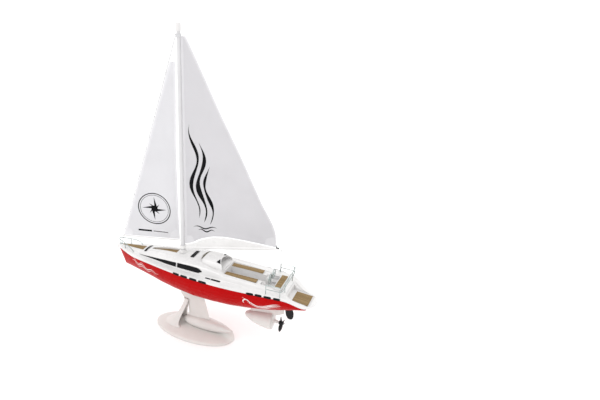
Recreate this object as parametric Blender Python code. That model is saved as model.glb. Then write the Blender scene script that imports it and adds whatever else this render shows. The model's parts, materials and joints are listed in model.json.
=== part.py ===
"""A radio-controlled model sailing yacht on its display stand, as separate jointed pieces.

Frame: +X to the bow, +Y to port, +Z up. The origin is the middle of the stand's underside, on the table.
All sizes below are in millimetres; MM turns them into metres where a mesh is made.
"""

import math

import bmesh
import bpy
import numpy as np
from mathutils import Matrix, Vector

MM = 0.001
GAP = 0.3  # clearance between pieces that touch
SHARP_ANGLE = math.radians(38)

# ---- driving dimensions ---------------------------------------------------------------------
BOW_X = 207.5
STERN_X = -279.5
RED_BOW_X = 201.5  # the red hull ends here; the white moulding overhangs it
RED_STERN_X = -264.0  # aft of here only the white moulding overhangs
FOREFOOT_X = 183.5
HULL_WALL = 2.2
DECK_WALL = 2.0

BULKHEAD_X = -222.0  # the deck drops to the stern platform here
WELL_FRONT_X = -82.0
WELL_AFT_X = -212.0
WELL_HALF = 28.5
SEAT_Z = 184.6
SOLE_Z = 168.0

MAST_X = 27.3
MAST_TOP_Z = 685.0
MAST_FOOT_Z = 203.0
MAST_R_FOOT = 5.0
MAST_R_TOP = 3.7

STAY_LOW = Vector((194.5, 0, 182.5))
STAY_HIGH = Vector((34.0, 0, 661.0))
STAY_R = 0.45

MAIN_SWING = 14.0  # degrees to starboard at rest
JIB_SWING = 12.0
BOOM_LENGTH = 220.0
BOOM_HEEL_Z = 206.0
BOOM_RISE = 0.098  # rise of the boom's underside per unit of length
SAIL_THICK = 0.6

KEEL_HALF = 3.6
BULB_Z = 24.5
STAND_A = 98.5
STAND_B = 50.0
STAND_RIM = 5.0
STAND_CROWN = 14.5

POD_Z = 85.5
POD_NOSE_X = -125.5
POD_AFT_X = -189.5
POD_R = 19.8
PROP_X = -209.0
PROP_R = 18.5
SHAFT_R = 1.5

RUDDER_X = -219.0
RUDDER_STOCK_R = 1.5
TILLER_Z = 152.0
TILLER_ARM = 9.0
SERVO_X = -176.0
SERVO_TOP_Z = 148.5

RAIL_R = 0.9
WHEEL_X, WHEEL_Y, WHEEL_Z = -182.4, 11.6, 192.4
SHEET_EYE_X, SHEET_EYE_Y = -184.0, -48.6

# ---- hull lines: (x, value) -----------------------------------------------------------------
HALF_BEAM = [(-279.5, 1.2), (-278, 9), (-275, 17), (-269, 26), (-255, 33), (-237, 40.5), (-217, 47.5),
             (-178, 54), (-125, 58.5), (-60, 61), (0, 59), (45, 53.5), (85, 45.5), (118, 37), (155, 25),
             (180, 15), (198, 6), (207.5, 0.6)]
RED_HALF = [(-279.5, 1.0), (-278, 8.6), (-275, 16.6), (-269, 25.6), (-255, 32.6), (-237, 40.2), (-217, 47.3),
            (-178, 53.8), (-125, 58.3), (-60, 60.8), (0, 58.8), (45, 53.2), (85, 44.8), (118, 35.6),
            (155, 22.5), (180, 11), (195, 3.6), (201.5, 0.5)]
SHEER = [(-279.5, 154), (-262, 154), (-257, 155), (-237, 165.5), (-221, 171), (-205, 173), (-150, 173.5),
         (-110, 173), (-40, 174), (30, 174.8), (85, 173.6), (118, 171), (155, 167.6), (207.5, 167.3)]
DECK_EDGE = [(-279.5, 156.4), (-262, 157), (-250, 161), (-237, 167.5), (-222, 175.5), (-217, 177),
             (-180, 178), (60, 178), (130, 177.4), (207.5, 177.6)]
KEEL_LINE = [(-279.5, 151.5), (-257.5, 144), (-230, 135), (-188, 124.5), (-144, 116), (-97, 110),
             (-24, 107.5), (52, 115), (109, 123), (165, 128), (183.5, 130)]
STEM_LINE = [(183.5, 130), (201.5, 167.2), (207.5, 177.0)]
ROOF_EDGE = [(-279.5, 156.6), (-262, 156.9), (-250, 158.9), (-237, 162.2), (-229, 166.0), (-222, 175.7),
             (-217, 178.8), (-190, 181.5), (-155, 184), (-120, 186), (-88, 187.2), (-80, 190.6), (-75, 191.5),
             (-35, 196), (-16, 196.3), (9, 195), (36, 192), (62, 189.5), (92, 186.3), (130, 180),
             (160, 178.9), (207.5, 178.0)]
ROOF_CROWN = [(-279.5, 157.0), (-262, 157.3), (-250, 159.3), (-237, 162.6), (-229, 166.5), (-222, 176.2),
              (-215, 179.8), (-160, 184.8), (-120, 187), (-88, 188.2), (-80, 192), (-75, 193.4), (-60, 196.5),
              (-20, 200), (-3, 200), (27, 199), (62, 196.5), (92.5, 192), (118, 186.2), (128, 184),
              (150, 182.5), (188, 179.8), (207.5, 178.3)]
CABIN_RATIO = 0.68  # the coachroof side's place, as a share of the half beam

BULB_PROFILE = [(-94, 1.2), (-91, 3.2), (-85, 5.5), (-75, 8.3), (-65, 10.5), (-54, 12.2), (-40, 13.7),
                (-25, 14.4), (-8, 14.1), (5, 12.8), (14, 10.8), (21, 7.9), (26, 4.2), (28, 0)]


# ---- small tools ----------------------------------------------------------------------------
def curve_through(points):
    """A smooth function through (x, value) points, with no overshoot between them."""
    xs = np.array([p[0] for p in points], float)
    ys = np.array([p[1] for p in points], float)
    steps = np.diff(xs)
    rates = np.diff(ys) / steps
    slopes = np.zeros(len(xs))
    slopes[0], slopes[-1] = rates[0], rates[-1]
    for i in range(1, len(xs) - 1):
        if rates[i - 1] * rates[i] > 0:
            left = 2 * steps[i] + steps[i - 1]
            right = steps[i] + 2 * steps[i - 1]
            slopes[i] = (left + right) / (left / rates[i - 1] + right / rates[i])

    def value(x):
        i = int(np.clip(np.searchsorted(xs, x) - 1, 0, len(steps) - 1))
        t = (np.clip(x, xs[0], xs[-1]) - xs[i]) / steps[i]
        start = (1 + 2 * t) * (1 - t) ** 2 * ys[i] + t * (1 - t) ** 2 * steps[i] * slopes[i]
        end = t * t * (3 - 2 * t) * ys[i + 1] + t * t * (t - 1) * steps[i] * slopes[i + 1]
        return float(start + end)

    return value


half_beam = curve_through(HALF_BEAM)
red_half = curve_through(RED_HALF)
sheer = curve_through(SHEER)
deck_edge = curve_through(DECK_EDGE)
keel_line = curve_through(KEEL_LINE)
stem_line = curve_through(STEM_LINE)
roof_edge = curve_through(ROOF_EDGE)
roof_crown = curve_through(ROOF_CROWN)
bulb_radius = curve_through(BULB_PROFILE)


def clear_scene():
    for obj in list(bpy.data.objects):
        bpy.data.objects.remove(obj)


def material(name, colour, roughness=0.4, metallic=0.0):
    found = bpy.data.materials.get(name)
    if found:
        return found
    made = bpy.data.materials.new(name)
    made.use_nodes = True
    shader = made.node_tree.nodes["Principled BSDF"]
    shader.inputs["Base Color"].default_value = (*colour, 1)
    shader.inputs["Roughness"].default_value = roughness
    shader.inputs["Metallic"].default_value = metallic
    made.diffuse_color = (*colour, 1)
    return made


def red():
    return material("red_gloss", (0.60, 0.006, 0.010), 0.18)


def white():
    return material("white_gloss", (0.86, 0.86, 0.88), 0.25)


def black():
    return material("black_gloss", (0.010, 0.010, 0.012), 0.22)


def tan():
    return material("tan_deck_pad", (0.27, 0.20, 0.10), 0.6)


def chrome():
    return material("chrome_plate", (0.75, 0.80, 0.78), 0.12, 1.0)


def stand_plastic():
    return material("stand_plastic", (0.74, 0.69, 0.67), 0.35)


def sailcloth():
    return material("sailcloth", (0.80, 0.79, 0.84), 0.7)


def steel():
    return material("steel", (0.55, 0.55, 0.56), 0.3, 1.0)


def line_fibre():
    return material("line_fibre", (0.55, 0.55, 0.55), 0.8)


def black_plastic():
    return material("black_plastic", (0.02, 0.02, 0.02), 0.45)


def board_green():
    return material("board_green", (0.02, 0.16, 0.06), 0.5)


def battery_skin():
    return material("battery_skin", (0.10, 0.12, 0.16), 0.35)


def finish(name, bm, mat, smooth=True):
    """Turns a bmesh in millimetres into a named object in metres, with its faces pointing out."""
    bmesh.ops.recalc_face_normals(bm, faces=bm.faces)
    bmesh.ops.scale(bm, vec=(MM, MM, MM), verts=bm.verts)
    mesh = bpy.data.meshes.new(name)
    bm.to_mesh(mesh)
    bm.free()
    if smooth:
        mesh.shade_smooth()
        mesh.set_sharp_from_angle(angle=SHARP_ANGLE)
    mesh.materials.append(mat)
    obj = bpy.data.objects.new(name, mesh)
    bpy.context.scene.collection.objects.link(obj)
    return obj


def loft(name, rings, mat):
    """A solid through closed rings of the same number of points, closed by its two end rings."""
    bm = bmesh.new()
    rows = [[bm.verts.new(p) for p in ring] for ring in rings]
    for low, high in zip(rows, rows[1:]):
        for i in range(len(low)):
            j = (i + 1) % len(low)
            bm.faces.new((low[i], low[j], high[j], high[i]))
    bm.faces.new(rows[0][::-1])
    bm.faces.new(rows[-1])
    return finish(name, bm, mat)


def slab(name, top, under, mat, smooth=True):
    """A sheet with thickness between two grids of points."""
    bm = bmesh.new()
    upper = [[bm.verts.new(p) for p in row] for row in top]
    lower = [[bm.verts.new(p) for p in row] for row in under]
    rows, cols = len(upper), len(upper[0])
    for i in range(rows - 1):
        for j in range(cols - 1):
            bm.faces.new((upper[i][j], upper[i + 1][j], upper[i + 1][j + 1], upper[i][j + 1]))
            bm.faces.new((lower[i][j], lower[i][j + 1], lower[i + 1][j + 1], lower[i + 1][j]))
    for i in range(rows - 1):
        for j in (0, cols - 1):
            bm.faces.new((upper[i][j], upper[i + 1][j], lower[i + 1][j], lower[i][j]))
    for j in range(cols - 1):
        for i in (0, rows - 1):
            bm.faces.new((upper[i][j], upper[i][j + 1], lower[i][j + 1], lower[i][j]))
    return finish(name, bm, mat, smooth)


def prism(name, outline, axis, start, end, mat, bevel=0.0):
    """An outline drawn across one axis ('X', 'Y' or 'Z') and extruded along it."""
    place = {"X": lambda a, b, c: (c, a, b),
             "Y": lambda a, b, c: (a, c, b),
             "Z": lambda a, b, c: (a, b, c)}[axis]
    bm = bmesh.new()
    rings = [[bm.verts.new(place(a, b, c)) for a, b in outline] for c in (start, end)]
    for i in range(len(outline)):
        j = (i + 1) % len(outline)
        bm.faces.new((rings[0][i], rings[0][j], rings[1][j], rings[1][i]))
    bm.faces.new(rings[0][::-1])
    bm.faces.new(rings[1])
    if bevel:
        bmesh.ops.bevel(bm, geom=bm.edges[:], offset=bevel, segments=1, affect="EDGES")
    return finish(name, bm, mat, smooth=False)


def box(name, low, high, mat, bevel=0.0):
    outline = [(low[0], low[1]), (high[0], low[1]), (high[0], high[1]), (low[0], high[1])]
    return prism(name, outline, "Z", low[2], high[2], mat, bevel)


def revolve(name, profile, origin, axis, mat, segments=24, closed=False):
    """Turns a profile of (distance along the axis, radius) round the axis through origin.

    A closed profile makes a ring or a tube; an open one is closed at its two ends.
    """
    along = Vector(axis).normalized()
    side = along.orthogonal().normalized()
    if abs(along.z) < 0.9:
        side = Vector((0, 0, 1)).cross(along).normalized()
    other = along.cross(side)
    bm = bmesh.new()
    rows = []
    for s, r in profile:
        centre = Vector(origin) + along * s
        if r == 0:
            rows.append([bm.verts.new(centre)])
            continue
        turns = [2 * math.pi * k / segments for k in range(segments)]
        rows.append([bm.verts.new(centre + (side * math.cos(a) + other * math.sin(a)) * r) for a in turns])
    pairs = list(zip(rows, rows[1:])) + ([(rows[-1], rows[0])] if closed else [])
    for low, high in pairs:
        for k in range(segments):
            m = (k + 1) % segments
            if len(low) == 1:
                bm.faces.new((low[0], high[m], high[k]))
            elif len(high) == 1:
                bm.faces.new((low[k], low[m], high[0]))
            else:
                bm.faces.new((low[k], low[m], high[m], high[k]))
    if not closed:
        for row, order in ((rows[0], -1), (rows[-1], 1)):
            if len(row) > 1:
                bm.faces.new(row[::order])
    return finish(name, bm, mat)


def rod(name, path, radius, mat, sides=8):
    """A round rod swept along a path of points, as a mesh with flat ends."""
    points = [Vector(p) for p in path]
    bm = bmesh.new()
    side = None
    rows = []
    for i, point in enumerate(points):
        ahead = points[min(i + 1, len(points) - 1)] - points[max(i - 1, 0)]
        ahead.normalize()
        side = ahead.orthogonal() if side is None else side - ahead * side.dot(ahead)
        side.normalize()
        other = ahead.cross(side)
        turns = [2 * math.pi * k / sides for k in range(sides)]
        rows.append([bm.verts.new(point + (side * math.cos(a) + other * math.sin(a)) * radius)
                     for a in turns])
    for low, high in zip(rows, rows[1:]):
        for k in range(sides):
            m = (k + 1) % sides
            bm.faces.new((low[k], low[m], high[m], high[k]))
    bm.faces.new(rows[0][::-1])
    bm.faces.new(rows[-1])
    return finish(name, bm, mat)


def cord(name, points, radius, mat):
    """A thin line along its route: a poly curve with a round bevel and closed ends."""
    data = bpy.data.curves.new(name, "CURVE")
    data.dimensions = "3D"
    data.bevel_depth = radius * MM
    data.bevel_resolution = 2
    data.use_fill_caps = True
    spline = data.splines.new("POLY")
    spline.points.add(len(points) - 1)
    for slot, point in zip(spline.points, points):
        slot.co = (*(Vector(point) * MM), 1)
    data.materials.append(mat)
    obj = bpy.data.objects.new(name, data)
    bpy.context.scene.collection.objects.link(obj)
    return obj


def combine(obj, tool, operation):
    """A Boolean of a helper object on a piece; the helper stays out of the result."""
    tool.hide_render = True
    tool.display_type = "WIRE"
    step = obj.modifiers.new(f"{operation.lower()}_{tool.name}", "BOOLEAN")
    step.operation = operation
    step.object = tool
    step.solver = "EXACT"
    return obj


def cut(obj, tool):
    return combine(obj, tool, "DIFFERENCE")


def join(obj, tool):
    return combine(obj, tool, "UNION")


def hinge_empty(name, place, children):
    """An empty on a joint's axis; the pieces that turn together are its children."""
    empty = bpy.data.objects.new(name, None)
    empty.location = Vector(place) * MM
    bpy.context.scene.collection.objects.link(empty)
    bpy.context.view_layer.update()
    for child in children:
        child.parent = empty
        child.matrix_parent_inverse = empty.matrix_world.inverted()
    return empty


# ---- hull and deck --------------------------------------------------------------------------
def hull_bottom(x):
    return stem_line(x) if x > FOREFOOT_X else keel_line(x)


def hull_ring(x, inset=0.0, rise=0.0, steps=9):
    """One cross-section of the hull: down from the port sheer, under the keel and up to starboard."""
    beam = red_half(x) - inset
    top = sheer(x)
    depth = top - hull_bottom(x) - inset
    fullness = 0.84 + 0.34 * max(0.0, min(1.0, (x - 60) / 130))
    ring = [(x, beam, top + rise)] if rise else []
    for k in range(2 * steps + 1):
        angle = math.pi * k / (2 * steps)
        level = math.sin(angle)
        width = math.copysign(abs(math.cos(angle)) ** fullness, math.cos(angle))
        ring.append((x, beam * width, top - depth * level))
    if rise:
        ring.append((x, -beam, top + rise))
    return ring


def make_hull():
    stations = [RED_STERN_X, -262, -257, -249, -237, -229, BULKHEAD_X, -216, -205, -190, -170, -140, -105,
                -60, -15, 30, 65, 95,
                120, 142, 160, 174, FOREFOOT_X, 189.5, 195, 199, RED_BOW_X]
    hull = loft("hull_shell", [hull_ring(x) for x in stations], red())
    hollow_at = [-260, -255, -237, -217, -195, -170, -140, -105, -60, -15, 30, 65, 95, 120, 142, 160, 176]
    rings = [hull_ring(x, HULL_WALL, rise=6.0) for x in hollow_at]
    return cut(hull, loft("hull_hollow", rings, red()))


def deck_profile(x, inset=0.0):
    """Half of the deck moulding's section, from the sheer to the centre line."""
    beam, edge = half_beam(x) - inset, deck_edge(x)
    scale = min(1.0, beam / 20)
    side = CABIN_RATIO * half_beam(x) - inset * 0.6
    height = roof_edge(x) - edge
    crown = roof_crown(x) - roof_edge(x)
    side_z = edge + 0.15 * height
    roof = edge + height
    inner = side - 5 * scale
    points = [(max(0.3, red_half(x) - inset), sheer(x) + GAP),
              (beam, edge - 1.8),
              (beam - 0.5 * scale, edge - 0.5),
              (beam - 2.2 * scale, edge),
              (side + 1.4 * scale, edge + 0.04 * height),
              (side, side_z),
              (side - 2.4 * scale, roof - 0.16 * height),
              (inner, roof)]
    for share in (0.66, 0.33):
        points.append((inner * share, roof + crown * math.sqrt(1 - share * share)))
    points.append((0, roof + crown))
    if inset:
        points = [(points[0][0], sheer(x) - 6)] + [(y, z - DECK_WALL) for y, z in points[1:]]
    return points


def deck_ring(x, inset=0.0):
    half = deck_profile(x, inset)
    wide, low_z = half[0]
    dip_z = low_z if inset else min(low_z, roof_edge(x) - 2.2)  # it dips round the stern platform
    under = [(0.86 * wide, low_z), (0.7 * wide, dip_z)]
    ring = [(x, y, z) for y, z in half] + [(x, -y, z) for y, z in half[-2::-1]]
    return ring + [(x, -y, z) for y, z in under] + [(x, y, z) for y, z in under[::-1]]


def deck_z(x, y):
    """The height of the deck moulding's outer surface above a point of the plan."""
    half = deck_profile(x)[:0:-1]
    ys = [p[0] for p in half]
    zs = [p[1] for p in half]
    return float(np.interp(abs(y), ys, zs))


def well_outline(grow=0.0):
    half = WELL_HALF + grow
    return [(WELL_FRONT_X + grow, -half), (WELL_FRONT_X + grow, half), (WELL_AFT_X - grow, half),
            (WELL_AFT_X - grow, -half)]


def platform_outline(grow=0.0):
    return [(BULKHEAD_X + grow, 25 + grow), (-255, 23.8 + grow), (-267.5, 21.5 + grow),
            (-270 - grow, 18.5 + grow), (-270 - grow, -18.5 - grow), (-267.5, -21.5 - grow),
            (-255, -23.8 - grow), (BULKHEAD_X + grow, -25 - grow)]


def make_deck():
    stations = [STERN_X, -278, -275, -269, -262, -257, -249, -237, -229, BULKHEAD_X, -216, -205, -190, -155,
                -120, -90, -84, -79, -75, -50, -35, -16, 9, 36, 62, 80, 92, 105, 118, 130, 142, 155, 168,
                180, 190, 198,
                203, BOW_X]
    deck = loft("deck_moulding", [deck_ring(x) for x in stations], white())
    hollow_at = [-217, -205, -190, -155, -120, -90, -84, -79, -75, -50, -35, -16, 9, 36, 62, 80, 92, 105,
                 118, 130, 142,
                 155, 168, 178]
    cut(deck, loft("deck_hollow", [deck_ring(x, DECK_WALL) for x in hollow_at], white()))
    join(deck, roof_recess("recess_tray", 1.8, -1.8, -1.3))
    cut(deck, roof_recess("recess", 0.0, 0.0, 20.0))
    cut(deck, prism("well_opening", well_outline(), "Z", 140, 230, white()))
    return cut(deck, prism("platform_opening", platform_outline(), "Z", 140, 230, white()))


def recess_floor(x):
    """The floor of the sunken walkway in the coachroof, ahead of the mast."""
    return roof_crown(x) - 4.6


def roof_recess(name, grow, under, above):
    """A box that follows the walkway: grown sideways and down, and up to a height over the roof's crown."""
    rings = []
    for share in (0.0, 0.2, 0.4, 0.6, 0.8, 1.0):
        x = 38.6 - grow + (106.0 + 2 * grow - 38.6) * share
        half = 9.4 - 5.0 * share + grow
        rings.append([(x, half, recess_floor(x) + under), (x, -half, recess_floor(x) + under),
                      (x, -half, roof_crown(x) + above), (x, half, roof_crown(x) + above)])
    return loft(name, rings, white())


def roof_pad():
    """The pad on the floor of the sunken walkway."""
    top, under = [], []
    for x, half in ((104.6, 3.9), (86, 5.2), (68, 6.5), (52, 7.7), (40, 8.6)):
        for rows, lift in ((top, GAP + 0.8), (under, GAP)):
            rows.append([(x, half * k, recess_floor(x) + lift) for k in (1, 0.33, -0.33, -1)])
    return slab("roof_pad", top, under, tan(), smooth=False)


def make_cockpit():
    """The tub with its two seats, footwell and helm bench; its sole has a stepped opening for the hatch."""
    half = WELL_HALF - GAP
    front, aft = WELL_FRONT_X - GAP, WELL_AFT_X + GAP
    bench_x = -195.5
    outline = [(front, SOLE_Z - 4), (aft, SOLE_Z - 4), (aft, SEAT_Z + 0.6), (bench_x, SEAT_Z + 0.6),
               (bench_x, 180.8), (-150, 184), (-88, 186.4), (front, 189.5)]
    well = prism("cockpit_well", outline, "Y", -half, half, white())
    cut(well, box("seat_level", (bench_x, -26.6, SEAT_Z), (front - 2, 26.6, 230), white()))
    cut(well, box("footwell", (bench_x, -12.6, SOLE_Z), (front - 2.1, 12.6, 230), white()))
    cut(well, box("helm_floor", (bench_x + 0.05, -24, SOLE_Z + 4), (-166, 24, 229), white()))
    cut(well, box("hatch_step", (-150, -10.4, SOLE_Z - 2), (-96, 10.4, 228), white()))
    cut(well, box("hatch_way", (-148, -8.4, SOLE_Z - 8), (-98, 8.4, 227), white()))
    return well


def platform_floor(x):
    """The height of the stern platform's floor, which slopes down to the transom."""
    return 160.4 + (156.2 - 160.4) * (BULKHEAD_X - 2.6 - x) / (BULKHEAD_X - 2.6 + 269.6)


def make_platform():
    """The stern platform: a tray whose walls rise to the deck, with the bulkhead at its front."""
    stations = [BULKHEAD_X, -229, -237, -249, -257, -262, -271]
    rim = [(x, min(deck_z(x, 24), deck_z(x, 10)) - 0.3) for x in stations]
    under = [(x, platform_floor(x) - 1.8) for x in (-271, BULKHEAD_X)]
    tray = prism("stern_platform", rim + under, "Y", -30, 30, white())
    combine(tray, prism("platform_trim", platform_outline(-GAP), "Z", 120, 200, white()), "INTERSECT")
    inside = [(BULKHEAD_X - 2.2, 190), (-280, 190), (-280, platform_floor(-280)),
              (BULKHEAD_X - 2.2, platform_floor(BULKHEAD_X - 2.2))]
    hollow = prism("platform_hollow", inside, "Y", -40, 40, white())
    combine(hollow, prism("platform_inner_trim", platform_outline(-1.7), "Z", 121, 199, white()), "INTERSECT")
    return cut(tray, hollow)


def make_hatch_cover():
    cover = box("cockpit_hatch", (-149.6, -10, SOLE_Z - 1.7), (-96.4, 10, SOLE_Z + 0.1), white(), 0.3)
    return join(cover, box("hatch_grip", (-125, -3.2, SOLE_Z - 0.5), (-121, 3.2, SOLE_Z + 2.2), white(), 0.5))


def side_window(name, start, end, hand):
    """A black glazing strip that follows the coachroof's side between two stations."""
    front, rear = 130.0, -40.0
    top, under = [], []
    for x in np.linspace(start, end, 9):
        half = deck_profile(x)
        (low_y, low_z), (high_y, high_z) = half[5], half[6]
        share = (front - x) / (front - rear)
        tall = 1.0 - 0.85 * max(0.0, (share - 0.93) / 0.07) ** 2
        middle = 0.52
        spread = 0.42 * tall * min(1.0, 0.10 + share * 1.9)
        for rows, lift in ((top, 0.9), (under, GAP)):
            row = []
            for k in (-1, 1):
                t = middle + k * spread
                row.append((x, hand * (low_y + (high_y - low_y) * t + lift), low_z + (high_z - low_z) * t))
            rows.append(row)
    return slab(name, top, under, black(), smooth=False)


def deck_pad(name, corners, mat, thick=0.8, steps=5, base=None, lift=GAP):
    """A thin pad on the deck inside four corners: front port, front starboard, rear starboard, rear port."""
    (x0, y0), (x1, y1), (x2, y2), (x3, y3) = corners
    top, under = [], []
    for i in range(steps + 1):
        u = i / steps
        rows = []
        for j in range(steps + 1):
            v = j / steps
            x = (x0 * (1 - u) + x3 * u) * (1 - v) + (x1 * (1 - u) + x2 * u) * v
            y = (y0 * (1 - u) + y3 * u) * (1 - v) + (y1 * (1 - u) + y2 * u) * v
            rows.append((x, y, deck_z(x, y) if base is None else base))
        top.append([(x, y, z + lift + thick) for x, y, z in rows])
        under.append([(x, y, z + lift) for x, y, z in rows])
    return slab(name, top, under, mat, smooth=False)


def platform_pad():
    """The pad on the sloping stern platform."""
    top, under = [], []
    for x, half in ((-233.0, 17.6), (-249.5, 18.6), (-266.0, 19.2)):
        for rows, lift in ((top, GAP + 0.8), (under, GAP)):
            rows.append([(x, half * k, platform_floor(x) + lift) for k in (1, 0.33, -0.33, -1)])
    return slab("platform_pad", top, under, tan(), smooth=False)


def make_sprayhood():
    """The hood over the companionway: bowed in front, open to the cockpit, its rear rim raked forward."""
    stations = [(-22.5, 20, 1.7), (-25.5, 22.5, 5.2), (-31, 25, 8.6), (-40, 26.6, 10.8), (-54, 27.6, 12.6),
                (-68, 27.6, 13.6), (-81.2, 27.2, 13.8)]
    top, under = [], []
    for i, (x, wide, tall) in enumerate(stations):
        share = i / (len(stations) - 1)
        bow, lean = 9.0 * (1 - share) ** 2, 11.0 * share ** 2
        outer, inner = [], []
        for k in range(15):
            angle = math.radians(-90 + 180 * k / 14)
            rise = max(0.0, math.cos(angle)) ** 0.7
            across = math.copysign(abs(math.sin(angle)) ** 0.9, math.sin(angle))
            shift = lean * rise ** 3 - bow * across ** 2
            for row, skin in ((outer, 0.0), (inner, 1.5)):
                y = (wide - skin) * across
                foot = deck_z(x + shift, y) + GAP
                row.append((x + shift, y, foot + max(0.0, tall - skin) * rise))
        top.append(outer)
        under.append(inner)
    return slab("sprayhood", top, under, white())


# ---- rails and helm -------------------------------------------------------------------------
def bow_pulpit():
    """The bow rail: one bent rail that comes down to the deck aft, on two side posts and one at the bow."""
    aft_x, aft_y, post_x, post_y = 148.8, 19.6, 176.0, 12.4
    foot = deck_z(aft_x, aft_y) + 2 * GAP
    rail = [(aft_x, -aft_y, foot), (aft_x, -aft_y, foot + 2), (155, -18.6, foot + 7), (163, -16.6, 188.6),
            (post_x, -post_y, 191.0), (189, -7.2, 192.6), (197, -3.6, 193.4), (200, 0, 193.6)]
    rail += [(x, -y, z) for x, y, z in rail[-2::-1]]
    pulpit = rod("bow_pulpit", rail, RAIL_R, chrome(), 7)
    for hand in (1, -1):
        stands_on = (post_x, hand * post_y, deck_z(post_x, post_y) + GAP)
        post = [stands_on, (post_x, hand * post_y, 191.0)]
        join(pulpit, rod(f"pulpit_post_{hand}", post, RAIL_R * 0.9, chrome(), 6))
    return join(pulpit, rod("pulpit_post_bow", [(199.5, 0, deck_z(199.5, 0) + GAP), (199.5, 0, 193.6)],
                            RAIL_R * 0.9, chrome(), 6))


def stern_pushpit():
    """The stern rail: an upper and a lower rail round the quarters, on six posts."""
    top_z, low_z, half, front, aft = 199.2, 189.5, 46.6, -187.0, -219.0

    def round_quarters(z, grow):
        path = [(front, -half, z), (aft + 5, -half + grow, z), (aft + 1.2, -half + 1.4 + grow, z),
                (aft, -half + 5 + grow, z)]
        return path + [(x, -y, z) for x, y, z in path[::-1]]

    rail = rod("stern_pushpit", round_quarters(top_z, 1.0), RAIL_R, chrome(), 7)
    join(rail, rod("pushpit_low", round_quarters(low_z, 1.0), RAIL_R * 0.8, chrome(), 6))
    posts = [(front + 0.6, half, 0), (aft + 3.2, half - 0.7, 0), (aft, 24, 0)]
    for i, (x, y, _) in enumerate(posts):
        for hand in (1, -1):
            foot = (x, hand * y, deck_z(x, y) + GAP)
            post = [foot, (x, hand * y, top_z)]
            join(rail, rod(f"pushpit_post_{i}_{hand}", post, RAIL_R * 0.9, chrome(), 6))
    return rail


def helm_pedestal():
    """The console between the two steering wheels, with a pin each side of its crossbar."""
    base_z = SOLE_Z + 4 + GAP
    outline = [(-180, base_z), (-170.5, base_z), (-172, 191.5), (-174, 197.5), (-178, 198.5), (-180.5, 194)]
    console = prism("helm_pedestal", outline, "Y", -4.5, 4.5, white(), 0.6)
    bar_end = WHEEL_Y + 1
    join(console, box("helm_bar", (-178.4, -bar_end, 191.1), (-175.8, bar_end, 193.7), white()))
    for hand in (1, -1):
        ends = [(-177, hand * WHEEL_Y, WHEEL_Z), (WHEEL_X - 1.8, hand * WHEEL_Y, WHEEL_Z)]
        join(console, rod(f"helm_pin_{hand}", ends, 0.6, chrome(), 8))
    return console


def helm_wheel(name, hand):
    centre = Vector((WHEEL_X, hand * WHEEL_Y, WHEEL_Z))
    rim_r, tube_r = 10.0, 0.75
    profile = [(tube_r * math.cos(a), rim_r + tube_r * math.sin(a))
               for a in [2 * math.pi * k / 6 for k in range(6)]]
    wheel = revolve(name, profile, centre, (1, 0, 0), chrome(), 22, closed=True)
    hub = revolve(name + "_hub", [(-0.9, 0.75), (-0.9, 2.0), (0.9, 2.0), (0.9, 0.75)], centre, (1, 0, 0),
                  chrome(), 14, closed=True)
    join(wheel, hub)
    for k in range(6):
        angle = math.pi * k / 3
        out = Vector((0, math.cos(angle), math.sin(angle)))
        join(wheel, rod(f"{name}_spoke_{k}", [centre + out * 1.5, centre + out * (rim_r + 0.1)], 0.45,
                        chrome(), 5))
    return wheel


# ---- keel and stand -------------------------------------------------------------------------
def bulb_body(name, grow, mat, segments=28):
    profile = [(x, r + grow) for x, r in BULB_PROFILE[:-1]] + [(BULB_PROFILE[-1][0] + grow, 0)]
    return revolve(name, profile, (0, 0, BULB_Z), (1, 0, 0), mat, segments)


def make_bulb():
    """The ballast bulb's shell, hollow and open at its tail."""
    bulb = bulb_body("keel_bulb", 0.0, stand_plastic())
    inner = [(x, max(3.0, r - 2.4)) for x, r in BULB_PROFILE[2:-2]]
    inner = [(-96, 3.0)] + inner + [(24, 0)]
    return cut(bulb, revolve("bulb_hollow", inner, (0, 0, BULB_Z), (1, 0, 0), stand_plastic(), 20))


def make_ballast():
    profile = [(x, bulb_radius(x) - 3.6) for x in (-62, -54, -40, -25, -8, 5)]
    return revolve("ballast_slug", profile, (0, 0, BULB_Z), (1, 0, 0), steel(), 16)


def make_bulb_plug():
    return revolve("bulb_tail_plug", [(-97, 0), (-96.4, 1.4), (-94.6, 2.4), (-84, 2.6), (-84, 0)],
                   (0, 0, BULB_Z), (1, 0, 0), stand_plastic(), 16)


def make_fin():
    """The keel fin: a foil between bulb and hull, with a longer root that sits on the stand's post."""
    rings = []
    for z, nose in [(14, 14.0), (40, 14.0), (60, 15.0), (72, 17.0), (81.0, 18.5), (81.6, 28.0), (88, 34.0),
                    (keel_line(0) + 3, 40.0)]:
        share = (z - 14) / (keel_line(0) + 3 - 14)
        tail = -46.0 + 26.0 * share
        thick = KEEL_HALF * (0.86 + 0.14 * share)
        ring = []
        for k in range(20):
            angle = 2 * math.pi * k / 20
            along = (1 - math.cos(angle)) / 2
            foil = math.sin(angle) * thick * (1.25 - 0.55 * along)
            ring.append((nose + (tail - nose) * along, foil, z))
        rings.append(ring)
    fin = loft("keel_fin", rings, stand_plastic())
    cut(fin, bulb_body("bulb_clearance", GAP, stand_plastic()))
    below_hull = []
    for x in [-60, -45, -30, -15, 0, 15, 30, 45, 60]:
        low = [(x, y, keel_line(x) - 0.4 + 0.004 * y * y) for y in (-10, -5, 0, 5, 10)]
        below_hull.append(low + [(x, 10, 140), (x, -10, 140)])
    return cut(fin, loft("hull_clearance", below_hull, stand_plastic()))


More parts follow.
